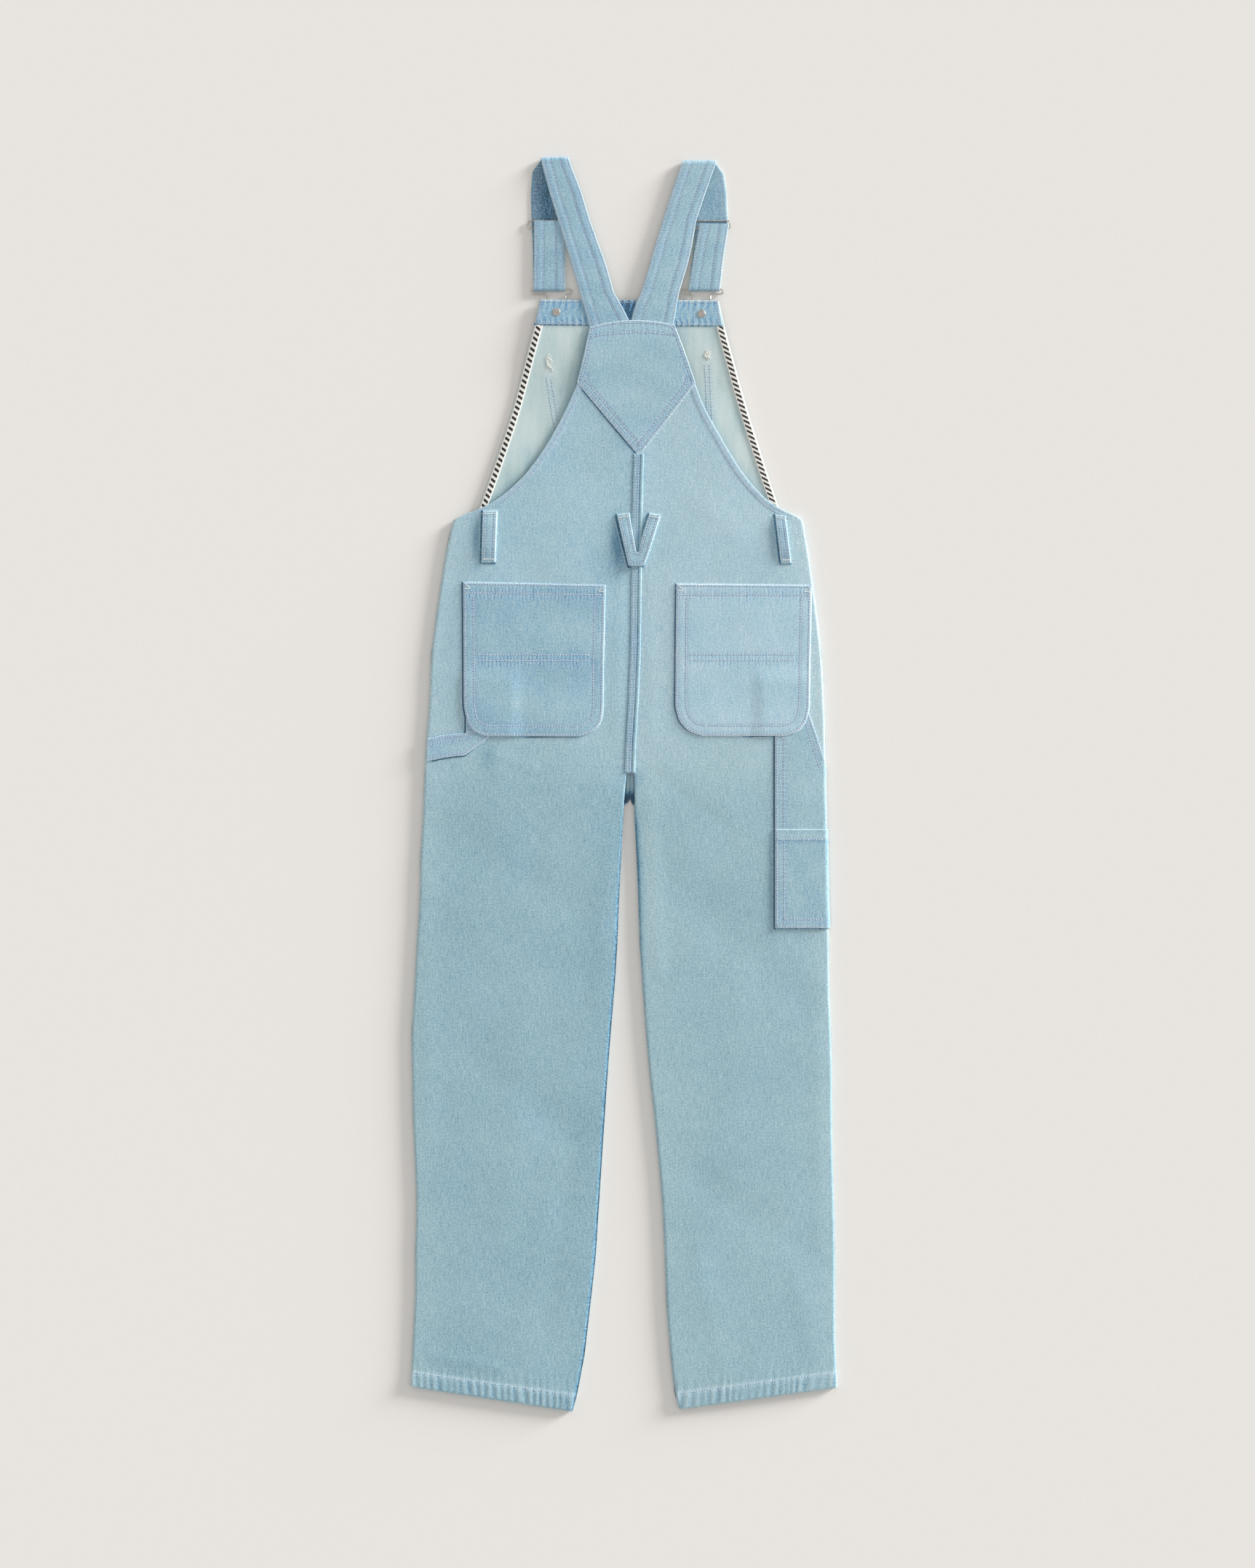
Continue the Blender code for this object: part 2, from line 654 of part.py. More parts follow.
def addButtons():
    head = (
        (0.0, buttonShankTop),
        (buttonShankRadius, buttonShankTop),
        (buttonShankRadius, buttonHeadHeight),
        (buttonHeadRadius, buttonHeadHeight),
        (buttonHeadRadius, 0.6),
        (buttonHeadRadius - 0.7, 0.0),
        (0.0, 0.0),
    )
    tack = (
        (0.0, tackHeight),
        (2.6, tackHeight - 0.1),
        (4.3, 0.45),
        (tackRadius, 0.15),
        (tackRadius, 0.0),
        (0.0, 0.0),
    )
    for side, place in (("left", buttonLeft), ("right", buttonRight)):
        addTurned("bib_button_" + side, head, (*place, 0.0))
        addTurned("button_tack_" + side, tack, (*place, tackBase))


for old in list(bpy.data.objects):
    bpy.data.objects.remove(old, do_unlink=True)
garment = bpy.data.collections.new("denim_overalls")
bpy.context.scene.collection.children.link(garment)
root = bpy.data.objects.new("overalls_root", None)
garment.objects.link(root)

addPanels()
addBib()
addYoke()
addBackPockets()
addBeltLoops()
addSewnStraps()
addStraps()
addSliders()
addBuckles()
addButtons()
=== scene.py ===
import math

import bpy
import numpy as np
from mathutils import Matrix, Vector


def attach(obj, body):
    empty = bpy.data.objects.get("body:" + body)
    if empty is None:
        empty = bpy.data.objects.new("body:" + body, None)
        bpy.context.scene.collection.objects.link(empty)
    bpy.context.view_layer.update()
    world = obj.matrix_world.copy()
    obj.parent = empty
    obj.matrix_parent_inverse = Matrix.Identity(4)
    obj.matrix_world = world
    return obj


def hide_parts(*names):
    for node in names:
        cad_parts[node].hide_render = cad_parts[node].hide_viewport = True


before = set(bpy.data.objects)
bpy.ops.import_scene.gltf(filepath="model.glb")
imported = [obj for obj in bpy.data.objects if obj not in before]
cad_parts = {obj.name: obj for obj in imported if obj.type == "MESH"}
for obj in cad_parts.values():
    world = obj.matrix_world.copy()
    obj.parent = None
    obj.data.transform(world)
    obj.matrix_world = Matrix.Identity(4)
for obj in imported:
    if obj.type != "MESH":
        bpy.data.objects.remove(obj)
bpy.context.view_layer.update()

mm = 0.001


# Measuring and shaping
def smooth(value, start, end):
    share = np.clip((value - start) / (end - start), 0.0, 1.0)
    return share * share * (3.0 - 2.0 * share)


def bell(value, width):
    return np.exp(-(value / width) ** 2)


def softNoise(x, y, size, seed):
    # a few long waves in odd directions, from -1 to 1
    random = np.random.RandomState(seed)
    total = np.zeros(np.shape(x))
    for _ in range(7):
        angle, phase = random.uniform(0.0, 2.0 * math.pi, 2)
        length = size * random.uniform(0.6, 1.7)
        total += np.sin((x * math.cos(angle) + y * math.sin(angle)) * 2.0 * math.pi / length + phase)
    return total / 4.0


def nearestOn(line, x, y):
    # how far each place is from a line, and how far along the line that is
    line = np.asarray(line, float)
    best = np.full(np.shape(x), 1e9)
    place = np.zeros(np.shape(x))
    before = 0.0
    for (ax, ay), (bx, by) in zip(line[:-1], line[1:]):
        length = math.hypot(bx - ax, by - ay)
        share = np.clip(((x - ax) * (bx - ax) + (y - ay) * (by - ay)) / length**2, 0.0, 1.0)
        distance = np.hypot(x - ax - share * (bx - ax), y - ay - share * (by - ay))
        closer = distance < best
        best = np.where(closer, distance, best)
        place = np.where(closer, before + share * length, place)
        before += length
    return best, place


def railRows(table, spacing, offsets=(0.0,), corners=(), rounding=10):
    # fine rows along the two edges of a piece, closer together near both ends
    table = np.asarray(table, float)
    dense, marks = [table[:1]], [0]
    for low, high in zip(table, table[1:]):
        length = max(math.dist(low[0:2], high[0:2]), math.dist(low[2:4], high[2:4]))
        count = max(2, int(round(length)))
        dense.append(low + (high - low) * np.linspace(0.0, 1.0, count + 1)[1:, None])
        marks.append(marks[-1] + count)
    dense = np.concatenate(dense)
    index = np.arange(len(dense))
    kept = [0, len(dense) - 1] + [marks[corner] for corner in corners]
    half = np.minimum(np.min([np.abs(index - place) for place in kept], axis=0), rounding)
    sums = np.vstack([np.zeros((1, dense.shape[1])), np.cumsum(dense, axis=0)])
    dense = (sums[index + half + 1] - sums[index - half]) / (2 * half + 1)[:, None]
    middle = (dense[:, 0:2] + dense[:, 2:4]) / 2
    if dense.shape[1] > 4:
        middle = np.column_stack([middle, dense[:, 4]])
    along = np.concatenate([[0.0], np.cumsum(np.linalg.norm(np.diff(middle, axis=0), axis=1))])
    offsets = np.asarray(offsets)
    whole = along[-1]
    count = max(2, int(round((whole - 2 * offsets[-1]) / spacing)))
    places = np.linspace(offsets[-1], whole - offsets[-1], count + 1)[1:-1]
    places = np.concatenate([offsets, places, whole - offsets[::-1]])
    return np.column_stack([np.interp(places, along, column) for column in dense.T]), places


def acrossRows(rows, spacing, offsets):
    # columns from the left edge to the right one; those near an edge keep their distance from it
    left, right = rows[:, None, 0:2], rows[:, None, 2:4]
    width = np.linalg.norm(right - left, axis=2)
    offsets = np.asarray(offsets)
    count = max(2, int(round((width.max() - 2 * offsets[-1]) / spacing)))
    start = offsets * np.minimum(1.0, 0.47 * width / offsets[-1])
    middle = start[:, -1:] + (width - 2 * start[:, -1:]) * np.linspace(0.0, 1.0, count + 1)[1:-1]
    across = np.concatenate([start, middle, width - start[:, ::-1]], axis=1)
    places = left + (right - left) * (across / width)[:, :, None]
    return places[:, :, 0], places[:, :, 1], across, width


def polyline(points, spacing=2.0):
    # the same line with points at even distances
    points = np.asarray(points, float)
    along = np.concatenate([[0.0], np.cumsum(np.linalg.norm(np.diff(points, axis=0), axis=1))])
    places = np.linspace(0.0, along[-1], max(2, int(along[-1] / spacing)) + 1)
    return np.column_stack([np.interp(places, along, column) for column in points.T])


def offsetLine(points, distance, rounding=3):
    # a line beside another, to its left where the distance is positive
    line = polyline(points, 2.0)
    for _ in range(rounding):
        line[1:-1] = (line[:-2] + 2 * line[1:-1] + line[2:]) / 4
    turn = np.gradient(line, axis=0)
    turn /= np.linalg.norm(turn, axis=1)[:, None]
    return line + np.column_stack([-turn[:, 1], turn[:, 0]]) * distance


# Materials
def paint(hexColour):
    channels = [int(hexColour[place : place + 2], 16) / 255 for place in (1, 3, 5)]
    linear = [c / 12.92 if c <= 0.04045 else ((c + 0.055) / 1.055) ** 2.4 for c in channels]
    return (*linear, 1.0)


def addNode(tree, kind, settings):
    # a setting is a ramp, a property of the node, or the value of an input or the output that feeds it
    node = tree.nodes.new("ShaderNode" + kind)
    for key, value in settings.items():
        if key == "ramp":
            elements = node.color_ramp.elements
            while len(elements) < len(value):
                elements.new(1.0)
            for element, (place, colour) in zip(elements, value):
                element.position = place
                element.color = paint(colour)
        elif isinstance(value, bpy.types.NodeSocket):
            tree.links.new(value, node.inputs[key])
        elif isinstance(key, str) and hasattr(node, key):
            setattr(node, key, value)
        else:
            node.inputs[key].default_value = value
    return node


def startMaterial(name, settings):
    material = bpy.data.materials.new(name)
    material.use_nodes = True
    shader = material.node_tree.nodes["Principled BSDF"]
    for key, value in settings.items():
        shader.inputs[key].default_value = value
    return material, material.node_tree, shader.inputs


def maths(tree, operation, *terms):
    return addNode(tree, "Math", {"operation": operation, **dict(enumerate(terms))}).outputs[0]


def noise(tree, place, scale, detail, roughness=0.5):
    settings = {"Scale": scale, "Detail": detail, "Roughness": roughness, "Vector": place}
    return addNode(tree, "TexNoise", settings).outputs["Fac"]


def attribute(tree, name, output="Fac"):
    return addNode(tree, "Attribute", {"attribute_name": name}).outputs[output]


def rampColour(tree, ramp, source):
    return addNode(tree, "ValToRGB", {"ramp": ramp, "Fac": source}).outputs["Color"]


def mixColours(tree, share, first, second):
    return addNode(tree, "Mix", {"data_type": "RGBA", 0: share, 6: first, 7: second}).outputs[2]


def objectPlace(tree):
    return addNode(tree, "TexCoord", {}).outputs["Object"]


def addBump(tree, inputs, distance, strength, height):
    bump = addNode(tree, "Bump", {"Distance": distance * mm, "Strength": strength, "Height": height})
    tree.links.new(bump.outputs["Normal"], inputs["Normal"])


# Stone-washed cotton denim twill: pale worn yarn over blue, with upright slubs and a fine grain
washedDenim = {
    # the darkest steps of each ramp are reached mostly where painted shade lowers the tone
    "teal": (
        (0.0, "#3A5A70"),
        (0.12, "#5A88A2"),
        (0.3, "#7FA3B2"),
        (0.5, "#99B8C2"),
        (0.75, "#B4CCD1"),
        (1.0, "#E4EBE7"),
    ),
    "blue": (
        (0.0, "#385A76"),
        (0.12, "#5689B2"),
        (0.3, "#7CA8C6"),
        (0.5, "#9DBFD0"),
        (0.75, "#B7D0DB"),
        (1.0, "#E6ECEB"),
    ),
    "level": 0.5,
    "grainSize": 2.1,  # yarn spacing is about 0.6, drawn coarser so that it shows
    "grain": 0.82,
    "slubWidth": 1.5,
    "slubLength": 15.0,
    "slub": 0.42,
    "twillPitch": 1.9,  # the real ribs are about 1.1 apart, drawn coarser so that they show
    "bandStep": 444.0,  # how far apart the wave node's diagonal bands are at scale 1
    "twill": 0.12,
    "patchWidth": 3.2,
    "patchLength": 8.0,
    "patch": 0.14,
    "mottleSize": 30.0,
    "mottle": 0.08,
    "bump": 0.22,
    "seamWander": 0.9,
    "wanderScale": 70.0,
    "seamCast": "#ADBBCD",
}
# The pale inside of the same twill, where the undyed weft yarn shows
insideDenim = dict(
    washedDenim,
    teal=((0.0, "#8FB0B8"), (0.3, "#AFC7C9"), (0.5, "#C2D3D3"), (0.75, "#D0DCDB"), (1.0, "#E6EAE5")),
    blue=((0.0, "#8AB0C4"), (0.3, "#AAC6D0"), (0.5, "#BFD3D9"), (0.75, "#CFDDE0"), (1.0, "#E6EBE9")),
    slub=0.26,
    grain=0.36,
)


def makeDenim(name, look):
    material, tree, inputs = startMaterial(
        name, {"Roughness": 0.9, "Sheen Weight": 0.12, "Sheen Roughness": 0.5, "Specular IOR Level": 0.25}
    )
    weave = attribute(tree, "weave", "Vector")

    def upright(kind, detail, roughness):
        # spots that are longer along the warp
        scale = (1000 / look[kind + "Width"], 1000 / look[kind + "Length"], 1.0)
        place = addNode(tree, "Mapping", {"Scale": scale, "Vector": weave})
        return noise(tree, place.outputs[0], 1.0, detail, roughness)

    slub, patch = upright("slub", 2.0, 0.6), upright("patch", 1.0, 0.5)
    grain = noise(tree, weave, 1000 / look["grainSize"], 2.0, 0.65)
    mottle = noise(tree, weave, 1000 / look["mottleSize"], 3.0, 0.55)
    bands = {"bands_direction": "DIAGONAL", "Scale": look["bandStep"] / look["twillPitch"], "Vector": weave}
    ribs = addNode(tree, "TexWave", {**bands, "Distortion": 3.0, "Detail": 2.0}).outputs["Fac"]
    # seam holds the place along the nearest seam, in puckers, how strong they are, and the thread's cast
    seam = addNode(tree, "SeparateXYZ", {0: attribute(tree, "seam", "Vector")}).outputs
    wander = noise(tree, weave, look["wanderScale"], 1.0)
    turn = maths(tree, "MULTIPLY_ADD", wander, look["seamWander"], seam["X"])
    wave = maths(tree, "SINE", maths(tree, "MULTIPLY", turn, 2 * math.pi))
    middle = look["level"] - sum(look[part] for part in ("slub", "grain", "twill", "patch", "mottle")) / 2
    texture = maths(tree, "MULTIPLY_ADD", slub, look["slub"], middle)
    texture = maths(tree, "ADD", texture, maths(tree, "MULTIPLY", wave, seam["Y"]))
    for source, strength in ((grain, look["grain"]), (ribs, look["twill"]), (patch, look["patch"])):
        texture = maths(tree, "MULTIPLY_ADD", source, strength, texture)
    tone = maths(tree, "MULTIPLY_ADD", mottle, look["mottle"], texture)
    # the attribute read here carries worn paleness and painted shade
    tone = maths(tree, "ADD", tone, attribute(tree, "wash"))
    teal, bluer = rampColour(tree, look["teal"], tone), rampColour(tree, look["blue"], tone)
    colour = mixColours(tree, attribute(tree, "blue"), teal, bluer)
    cast = mixColours(tree, seam["Z"], colour, paint(look["seamCast"]))
    tree.links.new(cast, inputs["Base Color"])
    addBump(tree, inputs, look["bump"], 0.7, texture)
    return material


# Spun cotton sewing thread, faded with the cloth, so it is a dull pale grey-lavender
def makeThread(name, colours):
    material, tree, inputs = startMaterial(name, {"Roughness": 0.8, "Specular IOR Level": 0.3})
    fade = noise(tree, objectPlace(tree), 120.0, 2.0)
    tree.links.new(rampColour(tree, tuple(zip((0.3, 0.5, 0.7), colours)), fade), inputs["Base Color"])
    return material


# Woven cotton herringbone tape, off-white with printed slanted bars
tapeLook = {
    "pitch": 6.6,
    "barShare": 0.5,
    "slant": 0.7,
    "bandHalf": 3.2,
    "ground": ((0.3, "#DAD7CE"), (0.7, "#F1EFE9")),
    "bar": "#26272B",
}


def makeTape(look):
    settings = {"Roughness": 0.85, "Specular IOR Level": 0.3}
    material, tree, inputs = startMaterial("woven_cotton_tape", settings)
    weave = attribute(tree, "weave", "Vector")
    parts = addNode(tree, "SeparateXYZ", {0: weave}).outputs
    inBand = maths(tree, "LESS_THAN", maths(tree, "ABSOLUTE", parts["X"]), look["bandHalf"] * mm)
    lean = maths(tree, "MULTIPLY_ADD", parts["X"], look["slant"], parts["Y"])
    part = maths(tree, "FRACT", maths(tree, "MULTIPLY", lean, 1 / (look["pitch"] * mm)))
    mask = maths(tree, "MULTIPLY", maths(tree, "LESS_THAN", part, look["barShare"]), inBand)
    yarn = noise(tree, weave, 900.0, 2.0)
    colour = mixColours(tree, mask, rampColour(tree, look["ground"], yarn), paint(look["bar"]))
    tree.links.new(colour, inputs["Base Color"])
    addBump(tree, inputs, 0.1, 0.6, yarn)
    return material


# Nickel-plated steel wire and brass, drawn and tumbled, so it is grey with a soft warm shine
def makeNickel():
    material, tree, inputs = startMaterial("nickel_plated_steel", {"Metallic": 1.0, "Roughness": 0.3})
    rub = noise(tree, objectPlace(tree), 500.0, 3.0)
    tree.links.new(rampColour(tree, ((0.3, "#A9A59E"), (0.7, "#D4D0C9")), rub), inputs["Base Color"])
    rough = addNode(tree, "MapRange", {"To Min": 0.22, "To Max": 0.42, "Value": rub})
    tree.links.new(rough.outputs["Result"], inputs["Roughness"])
    return material


denim = makeDenim("stone_washed_denim_twill", washedDenim)
denimInside = makeDenim("denim_twill_inside", insideDenim)
thread = makeThread("faded_cotton_thread", ("#92A8BE", "#A6B8C9", "#BEC9D2"))
tackThread = makeThread("bar_tack_cotton_thread", ("#D3D6D0", "#E4E5DE", "#EFEFE9"))
tapeCloth = makeTape(tapeLook)
nickel = makeNickel()
print("materials made")


# Mesh making
def meshObject(name, vertices, faces, materials, attributes=None, faceMaterials=None):
    # vertices in millimetres
    mesh = bpy.data.meshes.new(name)
    mesh.from_pydata((np.asarray(vertices) * mm).tolist(), [], faces)
    mesh.update()
    for attribute, values in (attributes or {}).items():
        values = np.asarray(values, np.float32)
        if values.ndim == 2:
            mesh.attributes.new(attribute, "FLOAT_VECTOR", "POINT").data.foreach_set("vector", values.ravel())
        else:
            mesh.attributes.new(attribute, "FLOAT", "POINT").data.foreach_set("value", values)
    for material in materials:
        mesh.materials.append(material)
    if faceMaterials is not None:
        mesh.polygons.foreach_set("material_index", np.asarray(faceMaterials, np.int32))
    mesh.shade_smooth()
    item = bpy.data.objects.new(name, mesh)
    bpy.context.scene.collection.objects.link(item)
    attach(item, "root")
    return item


def gridFaces(rows, columns, first=0, flip=False):
    corner = first + (np.arange(rows - 1)[:, None] * columns + np.arange(columns - 1)).ravel()
    faces = np.column_stack([corner, corner + 1, corner + columns + 1, corner + columns])
    if flip:
        faces = faces[:, ::-1]
    return faces.tolist()


def rimOf(rows, columns):
    # the border of a grid, anticlockwise from its first corner
    bottom = np.arange(columns)
    right = np.arange(1, rows) * columns + columns - 1
    top = (rows - 1) * columns + np.arange(columns - 2, -1, -1)
    left = np.arange(rows - 2, 0, -1) * columns
    return np.concatenate([bottom, right, top, left])


# Painted shadow beside a sewn-on edge, darkest and widest on the side away from the light
lightSide = np.array((0.9, 0.43))


def paintedShadowRings(edge, inward, edgeShadow):
    # three rings out from an edge: its foot, the painted shadow and where that shadow fades out
    away = np.clip((1 + inward @ lightSide) / 2, 0.0, 1.0)
    mask = edgeShadow["mask"](edge[:, 0], edge[:, 1]) if "mask" in edgeShadow else np.ones(len(edge))
    reach = (edgeShadow["reach"][0] + edgeShadow["reach"][1] * away) * mask + 0.12
    shade = (edgeShadow["shade"][0] + edgeShadow["shade"][1] * away**2) * mask
    rings = []
    for share, rise, dark in ((0.06, 0.34, 1.0), (0.62, 0.30, 1.0), (1.0, 0.16, 0.0)):
        ring = edge.copy()
        ring[:, :2] -= inward * (reach * share)[:, None]
        if "fall" in edgeShadow:
            ring[:, 2] -= edgeShadow["fall"] - rise
        else:
            ring[:, 2] = edgeShadow["floor"](ring[:, 0], ring[:, 1]) + rise
        rings.append((ring, shade * dark))
    return rings


def clothPatch(
    name, x, y, z, cloths, slot, edge, wash, blue, weave=None, flip=False, seam=None, edgeShadow=None, outer=None
):
    # a grid of cloth whose border turns down and in by the steps in edge: (inward, down)
    rows, columns = x.shape
    points = np.stack([x, y, z], axis=2).reshape(-1, 3)
    rim = rimOf(rows, columns)
    row, column = np.divmod(rim, columns)
    inner = np.clip(row, 1, rows - 2) * columns + np.clip(column, 1, columns - 2)
    inward = points[inner, :2] - points[rim, :2]
    inward /= np.maximum(np.linalg.norm(inward, axis=1), 1e-6)[:, None]
    faces = gridFaces(rows, columns, 0, flip)
    down = -1.0 if flip else 1.0
    rings = []
    for reach, drop in edge:
        moved = points[rim].copy()
        moved[:, :2] += inward * reach
        moved[:, 2] -= drop * down
        rings.append((moved, 0.0 * rim))
    # painted shadow in rings beside the border, darkest away from the light
    if edgeShadow:
        rings += paintedShadowRings(points[rim], inward, edgeShadow)
    vertices, source, shade = [points], [np.arange(len(points))], [np.zeros(len(points))]
    ring, total = rim, len(points)
    following = np.roll(np.arange(len(rim)), -1)
    for moved, dark in rings:
        fresh = total + np.arange(len(rim))
        side = np.column_stack([ring, fresh, fresh[following], ring[following]])
        faces += (side[:, ::-1] if flip else side).tolist()
        vertices.append(moved)
        source.append(rim)
        shade.append(dark)
        ring = fresh
        total += len(rim)
    faceMaterials = [0] * len(faces)
    if outer:
        index = np.full(len(points), -1)
        index[rim] = ring
        inside = np.where(index < 0)[0]
        index[inside] = total + np.arange(len(inside))
        low = points[inside].copy()
        low[:, 2] -= outer
        vertices.append(low)
        source.append(inside)
        shade.append(np.zeros(len(inside)))
        outerStart = total
        lowFaces = index[np.array(gridFaces(rows, columns, 0, not flip))].tolist()
        faces += lowFaces
        faceMaterials += [1] * len(lowFaces)
    vertices, source = np.concatenate(vertices), np.concatenate(source)
    if weave is None:
        weave = vertices * (mm, mm, 0.0)
    else:
        weave = (weave * mm).reshape(-1, 3)[source]
    attributes = {
        "weave": weave,
        "wash": np.broadcast_to(wash, x.shape).ravel()[source] - np.concatenate(shade),
        "blue": np.broadcast_to(blue, x.shape).ravel()[source],
    }
    if outer:  # the outer face has a tone of its own
        low = vertices[outerStart:]
        attributes["wash"][outerStart:] = 0.04 * softNoise(low[:, 0], low[:, 1], 60.0, 158)
        attributes["blue"][outerStart:] = 0.45
    if seam is not None:
        attributes["seam"] = seam.reshape(-1, 3)[source]
    return meshObject(name, vertices, faces, cloths, attributes, faceMaterials)


# One stitch is a short thread, lying on the cloth and dipping in at both ends
stitchLook = {"pitch": 3.3, "length": 2.7, "width": 1.15, "height": 0.42}


def sewnStitches(name, lines, facing=1.0, material=None, pitch=None):
    # lines are rows of points on the cloth, each with x, y and z
    pitch = pitch or stitchLook["pitch"]
    length = pitch * stitchLook["length"] / stitchLook["pitch"]
    starts, ends = [], []
    for line in lines:
        line = np.asarray(line, float)
        along = np.concatenate([[0.0], np.cumsum(np.linalg.norm(np.diff(line, axis=0), axis=1))])
        first = np.arange(0.3, along[-1] - length, pitch)
        starts.append(np.column_stack([np.interp(first, along, c) for c in line.T]))
        last = first + length
        ends.append(np.column_stack([np.interp(last, along, c) for c in line.T]))
    starts, ends = np.concatenate(starts), np.concatenate(ends)
    up = np.array([0.0, 0.0, facing])
    forward = ends - starts
    forward /= np.maximum(np.linalg.norm(forward, axis=1), 1e-6)[:, None]
    side = np.cross(up, forward)
    side /= np.maximum(np.linalg.norm(side, axis=1), 1e-6)[:, None]
    half, top = stitchLook["width"] / 2, stitchLook["height"]
    points = []
    for share, widthShare, heightShare in ((0.0, 0.55, 0.35), (0.5, 1.0, 1.0), (1.0, 0.55, 0.35)):
        middle = starts + (ends - starts) * share
        for across, height in ((-1.0, -0.25), (-0.55, heightShare), (0.55, heightShare), (1.0, -0.25)):
            points.append(middle + side * across * half * widthShare + up * height * top)
    vertices = np.stack(points, axis=1).reshape(-1, 3)
    faces = []
    stitchFaces = [(0, 1, 5, 4), (1, 2, 6, 5), (2, 3, 7, 6), (4, 5, 9, 8), (5, 6, 10, 9), (6, 7, 11, 10)]
    stitchFaces += [(3, 2, 1, 0), (8, 9, 10, 11)]
    for stitch in range(len(starts)):
        faces += [tuple(12 * stitch + corner for corner in face) for face in stitchFaces]
    return meshObject(name, vertices, faces, [material or thread], None)


# The shape of the garment
# One row for each section across the legs and the seat, from the hems to the yoke:
# outer left x and y, inner left, inner right, outer right, then how far the side and inner edges turn down
sections = (
    (-257.3, -728.6, -61.6, -758.2, 67.8, -755.9, 257.6, -729.5, 1.0, 1.0),
    (-256.1, -711.0, -56.5, -740.0, 62.0, -737.5, 257.0, -711.0, 1.0, 1.0),
    (-254.3, -670.6, -47.0, -690.0, 56.8, -690.0, 255.2, -670.6, 1.0, 1.0),
    (-251.7, -617.8, -39.5, -625.0, 51.7, -625.0, 255.2, -617.8, 1.0, 1.0),
    (-251.7, -565.0, -33.5, -570.0, 50.0, -570.0, 255.2, -565.0, 1.0, 1.0),
    (-249.9, -512.2, -30.0, -514.0, 47.5, -514.0, 254.3, -512.2, 1.0, 1.0),
    (-251.7, -459.4, -26.5, -460.0, 43.0, -460.0, 252.6, -459.4, 1.0, 1.0),
    (-254.3, -406.6, -23.0, -407.0, 38.0, -407.0, 251.7, -406.6, 1.0, 1.0),
    (-255.2, -353.8, -19.5, -354.0, 32.0, -354.0, 251.7, -353.8, 1.0, 1.0),
    (-256.1, -301.0, -15.5, -301.0, 27.3, -301.0, 250.8, -301.0, 1.0, 1.0),
    (-252.6, -248.2, -11.0, -248.0, 23.3, -248.0, 248.2, -248.2, 1.0, 1.0),
    (-249.9, -195.4, -7.5, -195.0, 19.7, -195.0, 248.2, -195.4, 1.0, 1.0),
    (-246.4, -142.6, -5.8, -143.0, 18.0, -143.0, 246.4, -142.6, 1.0, 1.0),
    (-245.5, -89.8, -3.0, -90.0, 16.0, -90.0, 245.5, -89.8, 1.0, 1.0),
    (-242.0, -37.0, -0.3, -37.0, 12.8, -37.0, 244.6, -37.0, 1.0, 0.8),
    (-241.1, -0.9, 2.0, -0.9, 13.6, 1.8, 243.8, -0.9, 1.0, 0.3),
    (-238.5, 51.0, 8.45, 45.0, 8.75, 45.0, 243.8, 51.0, 1.0, 0.0),
    (-234.1, 103.8, 11.85, 100.0, 12.15, 100.0, 242.0, 103.8, 1.0, 0.0),
    (-232.3, 156.6, 14.25, 156.0, 14.55, 156.0, 239.4, 156.6, 1.0, 0.0),
    (-225.3, 209.4, 15.05, 209.0, 15.35, 209.0, 233.2, 209.4, 1.0, 0.0),
    (-217.4, 262.2, 15.65, 262.0, 15.95, 262.0, 226.2, 262.2, 1.0, 0.0),
    (-211.2, 297.4, 16.05, 297.0, 16.35, 297.0, 220.9, 297.4, 1.0, 0.0),
    (-205.0, 319.4, 16.35, 315.0, 16.65, 315.0, 216.5, 319.4, 1.0, 0.0),
    (-191.0, 326.9, 16.45, 325.0, 16.75, 325.0, 205.0, 326.2, 0.5, 0.0),
    (-165.4, 334.4, 16.65, 335.0, 16.95, 335.0, 179.5, 336.2, 0.0, 0.0),
    (-129.4, 361.7, 17.05, 352.0, 17.35, 352.0, 149.6, 367.0, 0.0, 0.0),
    (-105.6, 389.8, 17.45, 368.0, 17.75, 368.0, 129.4, 397.8, 0.0, 0.0),
    (-86.2, 420.6, 17.85, 380.0, 18.15, 380.0, 110.9, 431.2, 0.0, 0.0),
    (-69.5, 452.3, 18.15, 390.0, 18.45, 390.0, 98.1, 452.3, 0.0, 0.0),
    (-55.4, 484.5, 18.35, 399.0, 18.65, 399.0, 86.2, 484.0, 0.0, 0.0),
)
crotchSection, waistSection = 15, 22
sectionTable = np.asarray(sections)

shape = {
    "legHeight": 5.8,
    "crown": 0.9,
    "sideGap": 0.3,
    "yokeRise": 2.7,
    "bibHeight": 2.7,
    "bibRise": 2.9,
    "wall": 1.2,
}

